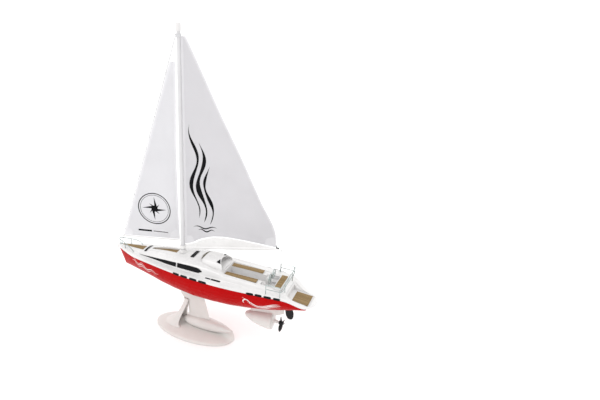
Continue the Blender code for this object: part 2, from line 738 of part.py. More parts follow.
def make_stand_base():
    """The oval foot: a low dome with a trough that the bulb lies in."""
    rings = []
    levels = [(0.985, 0.0), (1.0, 0.8), (1.0, STAND_RIM - 1.2), (0.985, STAND_RIM)]
    for share in (0.93, 0.84, 0.72, 0.58, 0.42, 0.24, 0.08):
        levels.append((share, STAND_RIM + (STAND_CROWN - STAND_RIM) * (1 - share ** 2) ** 0.85))
    for share, z in levels:
        ring = []
        for k in range(44):
            angle = 2 * math.pi * k / 44
            ring.append((STAND_A * share * math.cos(angle), STAND_B * share * math.sin(angle), z))
        rings.append(ring)
    base = loft("stand_base", rings, stand_plastic())
    return cut(base, bulb_body("trough", 0.6, stand_plastic()))


def stand_dome_z(x, y):
    share = min(1.0, math.hypot(x / STAND_A, y / STAND_B))
    return STAND_RIM + (STAND_CROWN - STAND_RIM) * (1 - share ** 2) ** 0.85


def make_stand_upright():
    """The post that cups the bulb's nose and the keel's front edge: it leans aft and is open to the rear."""
    levels = [(9.0, 77.0, 20.5, 29.0), (12.5, 71.0, 26.5, 25.5), (16, 65.5, 31.0, 23.2), (22, 57.5, 32.0, 21.0),
              (30, 49.0, 30.0, 18.6), (40, 41.5, 26.8, 15.6), (50, 36.0, 23.2, 12.8), (60, 31.2, 19.6, 10.2),
              (70, 27.4, 16.0, 7.8), (76, 26.6, 14.0, 6.6), (80.8, 27.2, 13.2, 6.2)]
    rings, groove = [], []
    for z, nose, rear, half in levels:
        wall = 2.0 + 1.4 * max(0.0, (30 - z) / 21)
        rings.append(cup_ring(z, nose, rear, half))
        groove.append(cup_ring(z, nose - 1.4 * wall, rear - 12, half - wall * 0.9))
    low, high = groove[0], groove[-1]
    groove = [[(x, y, 2.0) for x, y, _ in low]] + groove + [[(x, y, 90.0) for x, y, _ in high]]
    post = loft("stand_upright", rings, stand_plastic())
    cut(post, loft("keel_groove", groove, stand_plastic()))
    dome = []
    for x in (2, 12, 25, 40, 52, 64, 74, 84):
        ys = [-34 + 68 * k / 12 for k in range(13)]
        dome.append([(x, y, stand_dome_z(x, y) + GAP) for y in ys] + [(x, 34, -5), (x, -34, -5)])
    return cut(post, loft("dome_clearance", dome, stand_plastic()))


def cup_ring(z, nose, rear, half, steps=16):
    """A plan section of the post: rounded at its nose, square across its rear."""
    ring = []
    for k in range(steps + 1):
        angle = math.radians(-90 + 180 * k / steps)
        ahead = (nose - rear) * math.cos(angle) ** 0.8 if 0 < k < steps else 0.0
        ring.append((rear + ahead, half * math.sin(angle), z))
    return ring


def hull_under(x, y):
    """The height of the hull's underside above a point of the plan."""
    ring = [(p[1], p[2]) for p in hull_ring(x, steps=30) if p[1] >= 0]
    ring.sort()
    return float(np.interp(abs(y), [p[0] for p in ring], [p[1] for p in ring]))


# ---- drive and steering ---------------------------------------------------------------------
def make_pod():
    """The motor pod's shell, hollow and open at its rear, with the strut that hangs it from the hull."""
    outer = [(POD_AFT_X, POD_R - 0.8), (POD_AFT_X + 2, POD_R), (-182, POD_R), (-166, 18.4), (-150, 15.2),
             (-138, 11), (-130, 6.4), (-126.5, 2.6), (POD_NOSE_X, 0)]
    pod = revolve("motor_pod", outer, (0, 0, POD_Z), (1, 0, 0), stand_plastic(), 28)
    strut = []
    for x, low, half in [(-139, 90, 1.6), (-144, 92, 3.6), (-160, 92, 4.8), (-180, 95, 4.4),
                         (-191, 100, 3.0), (-205, 106, 1.6), (-213, 110, 0.8)]:
        high = [(x, y, hull_under(x, y) - 0.5) for y in (-half, 0, half)]
        strut.append([(x, half, low), (x, -half, low)] + high)
    join(pod, loft("pod_strut", strut, stand_plastic()))
    inner = [(-195, 17.4), (-182, 17.4), (-166, 16), (-152, 13), (-143, 9), (-141, 0)]
    return cut(pod, revolve("pod_hollow", inner, (0, 0, POD_Z), (1, 0, 0), stand_plastic(), 24))


def make_pod_cap():
    """The pod's rear cover, with the stern tube that the propeller shaft turns in."""
    bore = SHAFT_R + 0.05
    profile = [(-187.2, bore), (-187.2, 17.1), (-190.2, 17.1), (-190.8, 15.5), (-191.2, 6), (-194, 4.2),
               (-201, 3.0), (-201, bore)]
    return revolve("pod_end_cap", profile, (0, 0, POD_Z), (1, 0, 0), stand_plastic(), 24, closed=True)


def make_motor():
    return revolve("drive_motor", [(-184.5, 2.6), (-184.5, 5), (-182.5, 5), (-182.5, 11.5), (-181, 12.2),
                                   (-158, 12.2), (-156.5, 11.5), (-156.5, 2.6)],
                   (0, 0, POD_Z), (1, 0, 0), steel(), 20, closed=True)


def make_shaft():
    shaft = revolve("propeller_shaft", [(-216.5, 0), (-216, 1.1), (-214.5, SHAFT_R), (-158, SHAFT_R), (-158, 0)],
                    (0, 0, POD_Z), (1, 0, 0), steel(), 12)
    return shaft


def make_propeller():
    """Three twisted blades on a hub with a through bore for the shaft."""
    bore = SHAFT_R + GAP
    hub = revolve("propeller", [(-214, bore), (-213.5, 3.0), (-210, 4.2), (-205, 4.4), (-203.4, 3.6),
                                (-203.4, bore)], (0, 0, POD_Z), (1, 0, 0), black_plastic(), 16, closed=True)
    for blade in range(3):
        turn = math.radians(75 + 120 * blade)
        out = Vector((0, math.cos(turn), math.sin(turn)))
        side = Vector((0, -math.sin(turn), math.cos(turn)))
        front, back = [], []
        for share in (0.0, 0.25, 0.5, 0.75, 0.92, 1.0):
            radius = 3.4 + (PROP_R - 3.4) * share
            width = (2.4 + 2.2 * math.sin(math.pi * min(1.0, share * 0.62 + 0.2))) * (1 - 0.55 * share ** 6)
            pitch = math.radians(58 - 34 * share)
            rows = ([], [])
            for k in range(5):
                across = (k / 4 * 2 - 1) * width
                skin = 0.75 * (1 - 0.6 * abs(across) / width) * (1 - 0.4 * share)
                middle = Vector((PROP_X, 0, POD_Z)) + out * radius
                middle += side * across * math.cos(pitch) + Vector((1, 0, 0)) * across * math.sin(pitch)
                normal = Vector((1, 0, 0)) * math.cos(pitch) - side * math.sin(pitch)
                for row, hand in zip(rows, (1, -1)):
                    row.append(middle + normal * skin * hand)
            front.append(rows[0])
            back.append(rows[1])
        join(hub, slab(f"blade_{blade}", front, back, black_plastic()))
    return hub


def make_rudder():
    """A small balanced blade with its stock in one piece."""
    blade = []
    for z, nose, tail, half in [(100.5, -4.0, -10.0, 0.7), (102.5, -1.5, -12.5, 1.2), (108, 1.6, -14.8, 1.5),
                                (117, 3.4, -14.8, 1.6), (123.5, 3.4, -13, 1.6), (125.5, 2.4, -10.5, 1.4)]:
        ring = []
        for k in range(14):
            angle = 2 * math.pi * k / 14
            along = (1 - math.cos(angle)) / 2
            across = math.sin(angle) * half * (1.2 - 0.5 * along)
            ring.append((RUDDER_X + nose + (tail - nose) * along, across, z))
        blade.append(ring)
    rudder = loft("rudder", blade, black_plastic())
    return join(rudder, revolve("rudder_stock", [(118, RUDDER_STOCK_R), (TILLER_Z + 4, RUDDER_STOCK_R)],
                                (RUDDER_X, 0, 0), (0, 0, 1), black_plastic(), 12))


def make_rudder_tube():
    """The bush through the hull that the rudder stock turns in."""
    bore = RUDDER_STOCK_R + 0.05
    low = hull_bottom(RUDDER_X) - 1.2
    return revolve("rudder_bush", [(low, bore), (low, 2.8), (low + 16, 2.8), (low + 16, bore)],
                   (RUDDER_X, 0, 0), (0, 0, 1), black_plastic(), 14, closed=True)


def open_hull_for_bush(hull):
    return cut(hull, revolve("bush_hole", [(110, 3.1), (150, 3.1)], (RUDDER_X, 0, 0), (0, 0, 1), red(), 14))


def make_tiller():
    bore = RUDDER_STOCK_R + GAP
    outline = [(RUDDER_X - 2.9, -3.0), (RUDDER_X + 3.3, -3.0), (RUDDER_X + 1.8, TILLER_ARM + 2),
               (RUDDER_X - 1.8, TILLER_ARM + 2)]
    tiller = prism("tiller_arm", outline, "Z", TILLER_Z, TILLER_Z + 2.4, black_plastic(), 0.4)
    cut(tiller, revolve("tiller_bore", [(TILLER_Z - 2, bore), (TILLER_Z + 6, bore)], (RUDDER_X, 0, 0),
                        (0, 0, 1), black_plastic(), 14))
    return cut(tiller, revolve("tiller_eye", [(TILLER_Z - 2, 0.9), (TILLER_Z + 6, 0.9)],
                               (RUDDER_X, TILLER_ARM, 0), (0, 0, 1), black_plastic(), 10))


def make_servo():
    top = SERVO_TOP_Z
    low, high = (SERVO_X - 8, -5.8, top - 21), (SERVO_X + 15, 5.8, top)
    servo = box("steering_servo", low, high, black_plastic(), 0.5)
    tabs = box("servo_tabs", (SERVO_X - 12.5, -5.6, top - 7), (SERVO_X + 19.5, 5.6, top - 5), black_plastic())
    join(servo, tabs)
    return join(servo, revolve("servo_spindle", [(top - 1, 2.2), (top + 3.2, 2.2)], (SERVO_X, 0, 0), (0, 0, 1),
                               black_plastic(), 14))


def make_servo_horn():
    low, bore = SERVO_TOP_Z + 3.5, 0.9
    outline = [(SERVO_X - 3.2, -3.2), (SERVO_X + 3.2, -3.2), (SERVO_X + 1.8, TILLER_ARM + 2),
               (SERVO_X - 1.8, TILLER_ARM + 2)]
    horn = prism("servo_horn", outline, "Z", low, low + 2.0, white(), 0.3)
    return cut(horn, revolve("horn_eye", [(low - 2, bore), (low + 6, bore)], (SERVO_X, TILLER_ARM, 0),
                             (0, 0, 1), white(), 10))


def make_pushrod():
    """The wire from the servo's horn to the tiller, above both, with a bent pin clear of each eye."""
    high = TILLER_Z + 5.0
    path = [(SERVO_X, TILLER_ARM, TILLER_Z + 2.8), (SERVO_X, TILLER_ARM, high - 1.0),
            (SERVO_X - 1.0, TILLER_ARM, high), (RUDDER_X + 1.0, TILLER_ARM, high),
            (RUDDER_X, TILLER_ARM, high - 1.0), (RUDDER_X, TILLER_ARM, TILLER_Z + 2.8)]
    return rod("steering_pushrod", path, 0.5, steel(), 8)


# ---- power and control ----------------------------------------------------------------------
def battery_tray():
    """An open tray in the hull for four cells, with the power switch's housing on its front end."""
    low, high = (-108, -31.5, 124), (-54, 31.5, 133)
    tray = box("battery_tray", low, high, black_plastic())
    cut(tray, box("tray_hollow", (low[0] + 2, low[1] + 1.6, low[2] + 1.6), (high[0] - 2, high[1] - 1.6, 150),
                  black_plastic()))
    join(tray, box("switch_housing", (-54.5, -9, 125), (-46, 9, 137), black_plastic()))
    return cut(tray, box("switch_slot", (-52, -5.2, 134.2), (-48.5, 5.2, 146), black_plastic()))


def battery_cell(number):
    y = (number - 2.5) * 14.9
    profile = [(-105.6, 0), (-105.6, 6.9), (-57.6, 6.9), (-57.6, 2.6), (-56.4, 2.6), (-56.4, 0)]
    return revolve(f"battery_cell_{number}", profile, (0, y, 133), (1, 0, 0), battery_skin(), 14)


def switch_knob():
    return box("switch_knob", (-51.5, -4.8, 134.6), (-49, -0.8, 140), white(), 0.3)


def receiver_board():
    board = box("receiver_board", (-38, -19, 119), (12, 19, 120.6), board_green())
    for i, (x, y, size, tall) in enumerate([(-30, -8, 7, 3.0), (-12, 6, 9, 4.5), (2, -10, 4, 6.0)]):
        join(board, box(f"chip_{i}", (x, y, 120.2), (x + size, y + size, 120.2 + tall), black_plastic()))
    return board


# ---- rig ------------------------------------------------------------------------------------
def mast_radius(z):
    return MAST_R_FOOT + (MAST_R_TOP - MAST_R_FOOT) * (z - MAST_FOOT_Z) / (MAST_TOP_Z - MAST_FOOT_Z)


def make_mast():
    profile = [(MAST_FOOT_Z, MAST_R_FOOT), (MAST_TOP_Z - 8, mast_radius(MAST_TOP_Z - 8))]
    return revolve("mast", profile, (MAST_X, 0, 0), (0, 0, 1), white(), 18)


def make_mast_step():
    """The socket on the coachroof that the mast stands in, and its closed floor."""
    bore = MAST_R_FOOT + GAP
    low = deck_z(MAST_X, 0) + 0.6
    profile = [(low, 0), (low, 9.5), (low + 1.2, 9.3), (low + 2.0, 7.2), (low + 6.5, 6.6), (low + 6.5, bore),
               (MAST_FOOT_Z - GAP, bore), (MAST_FOOT_Z - GAP, 0)]
    return revolve("mast_step", profile, (MAST_X, 0, 0), (0, 0, 1), white(), 20)


def make_masthead():
    """The cap that closes the mast's upper end."""
    top = MAST_TOP_Z
    bore = mast_radius(top - 8) + GAP
    profile = [(top - 7.4, 0), (top - 7.4, bore), (top - 15, bore), (top - 15, bore + 1.0),
               (top - 1, bore + 0.9), (top, bore), (top, 0)]
    return revolve("masthead_cap", profile, (MAST_X, 0, 0), (0, 0, 1), white(), 18)


def make_crane():
    """The fitting below the masthead: an arm forward to the forestay and a stub aft."""
    z = STAY_HIGH.z
    bore = mast_radius(z - 3) + GAP
    ring = revolve("stay_crane", [(z - 2, bore), (z - 2, bore + 1.1), (z + 4, bore + 1.1), (z + 4, bore)],
                   (MAST_X, 0, 0), (0, 0, 1), chrome(), 18, closed=True)
    return join(ring, box("crane_arm", (MAST_X + bore + 0.5, -0.8, z + 0.8), (STAY_HIGH.x + 1.4, 0.8, z + 3.4),
                          chrome()))


def make_forestay():
    along = (STAY_HIGH - STAY_LOW).normalized()
    start, end = STAY_LOW + along * 0.5, STAY_HIGH - along * 0.5
    return cord("forestay", [start.lerp(end, k / 24) for k in range(25)], STAY_R, line_fibre())


def make_bow_eye():
    """The deck fitting at the bow that the forestay is made fast to."""
    x = STAY_LOW.x
    foot = deck_z(x, 0) + GAP
    return prism("bow_eye", [(x - 3, foot), (x + 3, foot - 0.1), (x + 2, STAY_LOW.z - 0.4), (x - 2, STAY_LOW.z - 0.2)],
                 "Y", -0.9, 0.9, chrome())


def swung(angle):
    """A turn about the mast that takes the boom from the centre line to starboard."""
    place = Matrix.Translation((MAST_X, 0, 0))
    return place @ Matrix.Rotation(math.radians(angle), 4, "Z") @ place.inverted()


def boom_point(r, z, y=0.0):
    """A point at a distance r behind the mast and y to port of the boom's middle, at rest."""
    return swung(MAIN_SWING) @ Vector((MAST_X - r, y, z))


def boom_underside(r):
    return BOOM_HEEL_Z + BOOM_RISE * r


BOOM_ARCH = curve_through([(6, 217.5), (16, 219.5), (45, 234), (74, 241.8), (92, 243.0), (130, 240.5), (170, 235.6),
                           (200, 231.5), (214, 229.8), (BOOM_LENGTH, 228.8)])


def make_boom():
    """The moulded boom: a thin arched web on a rounded lower rail, with a collar round the mast."""
    rings = []
    for r in (6.1, 10, 16, 28, 45, 60, 74, 92, 110, 130, 150, 170, 186, 200, 210, 216, BOOM_LENGTH):
        under, top = boom_underside(r), BOOM_ARCH(r)
        rail = 3.4 if r < 200 else 3.4 - 1.6 * (r - 200) / 20
        web = 2.2 if r < 200 else 1.6
        height = top - under
        half = [(0.45 * rail, under), (rail, under + min(1.4, 0.3 * height)), (rail, under + min(4.5, 0.55 * height)),
                (web, under + min(7.0, 0.75 * height)), (web, top - 0.6), (web * 0.5, top)]
        rings.append([boom_point(r, z, y) for y, z in half] + [boom_point(r, z, -y) for y, z in half[::-1]])
    boom = loft("boom", rings, white())
    bore = MAST_R_FOOT + GAP
    low = BOOM_HEEL_Z + 2.6
    collar = [(low, bore), (low, bore + 1.5), (low + 7, bore + 1.5), (low + 7, bore)]
    return join(boom, revolve("gooseneck", collar, (MAST_X, 0, 0), (0, 0, 1), white(), 20, closed=True))


main_leech = curve_through([(231.5, 205), (255, 204), (338.8, 167.1), (433, 123.2), (516.7, 81.5), (602.4, 41.6),
                            (653.7, 16.7), (660.5, 13.0)])


def sail_grids(rows, thick, turn, normal):
    """The two faces of a sail from its middle points, with its thickness across normal."""
    shift = (turn @ Vector(normal) - turn @ Vector((0, 0, 0))).normalized() * thick / 2
    top = [[turn @ Vector(p) + shift for p in row] for row in rows]
    under = [[turn @ Vector(p) - shift for p in row] for row in rows]
    return top, under


def make_mainsail():
    """The mainsail: its luff just behind the mast, its foot just above the boom's arch."""
    rows = []
    head_z, clew_z = 660.5, BOOM_ARCH(200) + 2.2
    for i in range(15):
        share = i / 14
        luff_r = 7.0 - 0.8 * share
        row = []
        for j in range(9):
            across = j / 8
            foot = BOOM_ARCH(7.0 + (main_leech(clew_z) - 7.0) * across) + 2.2
            z = foot + (head_z - foot) * share
            r = luff_r + (main_leech(max(clew_z, z)) - luff_r) * across
            row.append((MAST_X - r, 0, z))
        rows.append(row)
    top, under = sail_grids(rows, SAIL_THICK, swung(MAIN_SWING), (0, 1, 0))
    return slab("mainsail", top, under, sailcloth())


def stay_turn(angle):
    """A turn about the forestay; positive takes the jib's clew to starboard."""
    place = Matrix.Translation(STAY_LOW)
    axis = (STAY_HIGH - STAY_LOW).normalized()
    return place @ Matrix.Rotation(math.radians(angle), 4, axis) @ place.inverted()


def stay_x(z):
    share = (z - STAY_LOW.z) / (STAY_HIGH.z - STAY_LOW.z)
    return STAY_LOW.x + (STAY_HIGH.x - STAY_LOW.x) * share


JIB_LEECH = curve_through([(211.5, 48.3), (311, 47.3), (399, 46), (515, 41.2), (612, 37.2)])


def make_jib():
    rows = []
    for i in range(13):
        share = i / 12
        row = []
        for j in range(7):
            across = j / 6
            foot = 205.5 + 6.0 * across
            z = foot + (612.0 - foot) * share
            luff = stay_x(z) - 1.4
            row.append((luff + (JIB_LEECH(z) - luff) * across, 0, z))
        rows.append(row)
    top, under = sail_grids(rows, SAIL_THICK, stay_turn(JIB_SWING), (0, 1, 0))
    return slab("jib", top, under, sailcloth())


def make_jib_boom():
    """The light spar along the jib's foot, with a ring round the forestay."""
    turn = stay_turn(JIB_SWING)
    z = 203.2
    start = Vector((stay_x(z) - 1.6, 0, z))
    end = Vector((46.5, 0, 208.6))
    spar = rod("jib_boom", [turn @ start.lerp(end, k / 4) for k in range(5)], 1.3, white(), 8)
    axis = (STAY_HIGH - STAY_LOW).normalized()
    middle = Vector((stay_x(z), 0, z))
    ring = revolve("jib_tack_ring", [(-1.2, STAY_R + 0.4), (-1.2, 1.9), (1.2, 1.9), (1.2, STAY_R + 0.4)],
                   middle, axis, white(), 14, closed=True)
    return join(spar, ring)


def make_clew_hook():
    """The small hook that ties the mainsail's clew to the boom."""
    r = 206.5
    low, high = BOOM_ARCH(r) + GAP, BOOM_ARCH(200) + 6.0
    outline = [(r - 1.2, low), (r + 5.5, low - 0.4), (r + 5.5, low + 1.2), (r + 0.4, low + 1.8), (r - 0.2, high),
               (r - 1.2, high)]
    bm = bmesh.new()
    rings = [[bm.verts.new(boom_point(a, b, y)) for a, b in outline] for y in (-0.9, 0.9)]
    for i in range(len(outline)):
        j = (i + 1) % len(outline)
        bm.faces.new((rings[0][i], rings[0][j], rings[1][j], rings[1][i]))
    bm.faces.new(rings[0][::-1])
    bm.faces.new(rings[1])
    return finish("clew_hook", bm, black_plastic(), smooth=False)


def make_mainsheet():
    """The line from the boom's end down to its eye on the starboard quarter."""
    high = boom_point(BOOM_LENGTH - 2.5, boom_underside(BOOM_LENGTH - 2.5) - 0.5)
    low = Vector((SHEET_EYE_X, SHEET_EYE_Y, deck_z(SHEET_EYE_X, SHEET_EYE_Y) + 4.4))
    points = [low.lerp(high, k / 20) for k in range(21)]
    return cord("mainsheet", points, 0.4, line_fibre())


def make_sheet_eye():
    foot = deck_z(SHEET_EYE_X, SHEET_EYE_Y) + 0.5
    low = (SHEET_EYE_X - 1.4, SHEET_EYE_Y - 1.2, foot)
    high = (SHEET_EYE_X + 1.4, SHEET_EYE_Y + 1.2, foot + 3.4)
    return box("sheet_eye", low, high, chrome(), 0.3)


# ---- assembly -------------------------------------------------------------------------------
def main():
    clear_scene()
    make_stand_base()
    make_stand_upright()

    open_hull_for_bush(make_hull())
    make_deck()
    make_cockpit()
    make_platform()
    make_sprayhood()
    for hand, side in ((1, "port"), (-1, "starboard")):
        side_window(f"window_{side}_front", 130.0, 24.5, hand)
        side_window(f"window_{side}_rear", 21.0, -40.0, hand)
    deck_pad("fore_hatch_glass", [(121.8, 14.8), (121.8, -14.8), (116, -14.8), (116, 14.8)], black(),
             lift=0.8)
    deck_pad("roof_hatch_glass", [(0.8, 15), (0.8, -15), (-7, -15), (-7, 15)], black())
    deck_pad("foredeck_pad", [(189, 2.0), (189, -2.0), (129, -8.5), (129, 8.5)], tan())
    roof_pad()
    for hand, side in ((1, "port"), (-1, "starboard")):
        inner, outer = hand * 13.4, hand * 26.2
        corners = [(-86, inner), (-86, outer), (-157.5, outer), (-157.5, inner)]
        deck_pad(f"seat_pad_{side}", corners, tan(), base=SEAT_Z)
    deck_pad("helm_seat_pad", [(-197.3, 24), (-197.3, -24), (-209.8, -24), (-209.8, 24)], tan(),
             base=SEAT_Z + 0.6)
    platform_pad()
    bow_pulpit()
    stern_pushpit()
    helm_pedestal()
    for hand, side in ((1, "port"), (-1, "starboard")):
        wheel = helm_wheel(f"helm_wheel_{side}", hand)
        hinge_empty(f"axis_wheel_{side}", (WHEEL_X, hand * WHEEL_Y, WHEEL_Z), [wheel])
    make_hatch_cover()

    make_fin()
    make_bulb()
    make_ballast()
    make_bulb_plug()

    make_pod()
    make_pod_cap()
    make_motor()
    hinge_empty("axis_propeller", (PROP_X, 0, POD_Z), [make_propeller(), make_shaft()])
    make_rudder_tube()
    hinge_empty("axis_rudder", (RUDDER_X, 0, TILLER_Z), [make_rudder(), make_tiller()])
    make_servo()
    hinge_empty("axis_servo_horn", (SERVO_X, 0, SERVO_TOP_Z), [make_servo_horn()])
    make_pushrod()
    battery_tray()
    for number in (1, 2, 3, 4):
        battery_cell(number)
    switch_knob()
    receiver_board()

    make_mast()
    make_mast_step()
    make_masthead()
    make_crane()
    make_bow_eye()
    make_forestay()
    make_sheet_eye()
    make_mainsheet()
    hinge_empty("axis_boom", (MAST_X, 0, BOOM_HEEL_Z),
                [make_boom(), make_clew_hook(), make_mainsail()])
    hinge_empty("axis_jib", STAY_LOW, [make_jib(), make_jib_boom()])


main()
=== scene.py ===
"""Looks for the model sailing yacht: materials, sails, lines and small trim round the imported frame.

The row frame: +X to the bow, +Y to port, +Z up, origin under the middle of the stand. Metres.
"""

import json
import math

import bmesh
import bpy
import numpy as np
from mathutils import Matrix, Vector
from mathutils.bvhtree import BVHTree


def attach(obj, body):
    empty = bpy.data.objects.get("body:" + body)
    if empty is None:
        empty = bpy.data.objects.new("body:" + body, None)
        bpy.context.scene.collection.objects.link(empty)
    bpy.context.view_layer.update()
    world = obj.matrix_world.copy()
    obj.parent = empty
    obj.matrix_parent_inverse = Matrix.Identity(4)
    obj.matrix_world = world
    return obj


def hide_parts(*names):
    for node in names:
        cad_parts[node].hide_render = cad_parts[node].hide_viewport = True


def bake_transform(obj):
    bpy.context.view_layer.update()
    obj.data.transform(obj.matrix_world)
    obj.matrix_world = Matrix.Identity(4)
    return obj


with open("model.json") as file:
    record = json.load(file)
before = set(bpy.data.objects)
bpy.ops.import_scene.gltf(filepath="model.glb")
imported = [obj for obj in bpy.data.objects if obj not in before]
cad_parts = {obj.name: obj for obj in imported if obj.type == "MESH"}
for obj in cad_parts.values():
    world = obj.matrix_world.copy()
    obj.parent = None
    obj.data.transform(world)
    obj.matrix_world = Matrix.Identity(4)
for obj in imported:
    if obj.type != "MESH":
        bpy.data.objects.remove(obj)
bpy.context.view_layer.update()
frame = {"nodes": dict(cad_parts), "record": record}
nodes = frame["nodes"]
MM = 0.001
SHARP_DEGREES = 40  # edges sharper than this stay crisp
HANDS = ((1, "port"), (-1, "starboard"))

# ---- the rig's geometry, as in the CAD, in millimetres ---------------------------------------
MAST_X = 27.3
MAIN_SWING = math.radians(14)
JIB_SWING = math.radians(12)
STAY_LOW = Vector((194.5, 0, 182.5))
STAY_HIGH = Vector((34.0, 0, 661.0))
STAY_AXIS = (STAY_HIGH - STAY_LOW).normalized()


# ---- materials, in metres --------------------------------------------------------------------
SINK_DEPTH = 0.00006  # the faint waves of a moulded face
PLANK_WIDTH = 0.0032
YARN_WIDTH = 0.0011


class Shade:
    """A material's node tree, with short calls for the nodes used here."""

    def __init__(self, name, colour, roughness, metallic=0.0):
        self.material = bpy.data.materials.new(name)
        self.material.use_nodes = True
        self.tree = self.material.node_tree
        self.shader = self.tree.nodes["Principled BSDF"]
        self.set("Base Color", (*colour, 1))
        self.set("Roughness", roughness)
        self.set("Metallic", metallic)
        self.colour = colour
        self.place = self.node("ShaderNodeTexCoord").outputs["Object"]
        self.last_bump = None

    def node(self, kind, **settings):
        made = self.tree.nodes.new(kind)
        for key, value in settings.items():
            setattr(made, key, value)
        return made

    def link(self, start, end):
        self.tree.links.new(start, end)

    def set(self, socket, value):
        self.shader.inputs[socket].default_value = value
        return self

    def noise(self, per_metre, detail=4.0, rough=0.5, stretch=(1, 1, 1)):
        place = self.place
        if stretch != (1, 1, 1):
            mapping = self.node("ShaderNodeMapping")
            mapping.inputs["Scale"].default_value = stretch
            self.link(place, mapping.inputs["Vector"])
            place = mapping.outputs["Vector"]
        tex = self.node("ShaderNodeTexNoise")
        tex.inputs["Scale"].default_value = per_metre
        tex.inputs["Detail"].default_value = detail
        tex.inputs["Roughness"].default_value = rough
        self.link(place, tex.inputs["Vector"])
        return tex.outputs["Fac"]

    def ramp(self, factor, stops):
        made = self.node("ShaderNodeValToRGB")
        while len(made.color_ramp.elements) < len(stops):
            made.color_ramp.elements.new(0.5)
        for element, (at, colour) in zip(made.color_ramp.elements, stops):
            element.position = at
            element.color = (*colour, 1)
        self.link(factor, made.inputs["Fac"])
        return made.outputs["Color"]

    def remap(self, factor, low, high, to_low, to_high):
        made = self.node("ShaderNodeMapRange")
        for socket, value in (("From Min", low), ("From Max", high), ("To Min", to_low), ("To Max", to_high)):
            made.inputs[socket].default_value = value
        self.link(factor, made.inputs["Value"])
        return made.outputs["Result"]

    def mottle(self, factor, amount, tint=(1, 1, 1)):
        """Varies the base colour by a share either way, through a texture."""
        low = [max(0.0, c * (1 - amount)) for c in self.colour]
        high = [min(1.0, c * (1 + amount) * t) for c, t in zip(self.colour, tint)]
        self.link(self.ramp(factor, [(0.3, low), (0.7, high)]), self.shader.inputs["Base Color"])
        return self

    def bump(self, height, distance, strength=1.0):
        made = self.node("ShaderNodeBump")
        made.inputs["Distance"].default_value = distance
        made.inputs["Strength"].default_value = strength
        self.link(height, made.inputs["Height"])
        if self.last_bump is not None:
            self.link(self.last_bump, made.inputs["Normal"])
        self.last_bump = made.outputs["Normal"]
        self.link(self.last_bump, self.shader.inputs["Normal"])
        return self

    def vary_roughness(self, factor, low, high):
        self.link(self.remap(factor, 0.3, 0.7, low, high), self.shader.inputs["Roughness"])
        return self


def moulded(name, colour, roughness, coat=0.0, grain=0.0, specular=0.5):
    """Injection-moulded plastic: faint sink and flow, a little uneven gloss, and optional fine grain."""
    made = Shade(name, colour, roughness)
    made.mottle(made.noise(28, 3), 0.035)
    made.vary_roughness(made.noise(60, 5), roughness * 0.8, roughness * 1.25)
    made.bump(made.noise(160, 2), SINK_DEPTH)
    made.set("Specular IOR Level", specular)
    if grain:
        made.bump(made.noise(2600, 2), grain)
    if coat:
        made.set("Coat Weight", coat).set("Coat Roughness", 0.06)
    return made.material


def chrome_plate():
    """Vacuum-plated plastic: bright, a little wavy, with duller patches where hands wear it."""
    made = Shade("chrome_plate", (0.36, 0.41, 0.40), 0.1, 1.0)
    made.mottle(made.noise(220, 3), 0.06)
    made.vary_roughness(made.noise(350, 4), 0.06, 0.24)
    made.bump(made.noise(420, 2), 0.00005)
    return made.material


def planked_pad():
    """Printed teak planking: planks along the boat with dark caulking, fine grain and varied boards."""
    made = Shade("deck_pad", (0.30, 0.19, 0.08), 0.66)
    made.set("Specular IOR Level", 0.3)
    split = made.node("ShaderNodeSeparateXYZ")
    made.link(made.place, split.inputs["Vector"])
    across = made.node("ShaderNodeMath", operation="MULTIPLY")
    made.link(split.outputs["Y"], across.inputs[0])
    across.inputs[1].default_value = 1 / PLANK_WIDTH
    part = made.node("ShaderNodeMath", operation="PINGPONG")
    made.link(across.outputs[0], part.inputs[0])
    part.inputs[1].default_value = 0.5
    seam = made.remap(part.outputs[0], 0.02, 0.07, 0.0, 1.0)
    board = made.node("ShaderNodeMath", operation="FLOOR")
    made.link(across.outputs[0], board.inputs[0])
    random = made.node("ShaderNodeTexWhiteNoise", noise_dimensions="1D")
    made.link(board.outputs[0], random.inputs["W"])
    boards = made.ramp(random.outputs["Value"], [(0.0, (0.235, 0.152, 0.060)), (1.0, (0.312, 0.210, 0.094))])
    grain = made.noise(900, 5, 0.6, stretch=(0.06, 1, 1))
    streaks = made.node("ShaderNodeMix", data_type="RGBA", blend_type="MULTIPLY")
    streaks.inputs["Factor"].default_value = 0.55
    made.link(boards, streaks.inputs["A"])
    made.link(made.ramp(grain, [(0.3, (0.62, 0.60, 0.56)), (0.7, (1.0, 1.0, 1.0))]), streaks.inputs["B"])
    final = made.node("ShaderNodeMix", data_type="RGBA")
    made.link(seam, final.inputs["Factor"])
    final.inputs["A"].default_value = (0.075, 0.055, 0.035, 1)
    made.link(streaks.outputs["Result"], final.inputs["B"])
    made.link(final.outputs["Result"], made.shader.inputs["Base Color"])
    made.bump(seam, 0.00018)
    made.bump(grain, 0.00005)
    return made.material


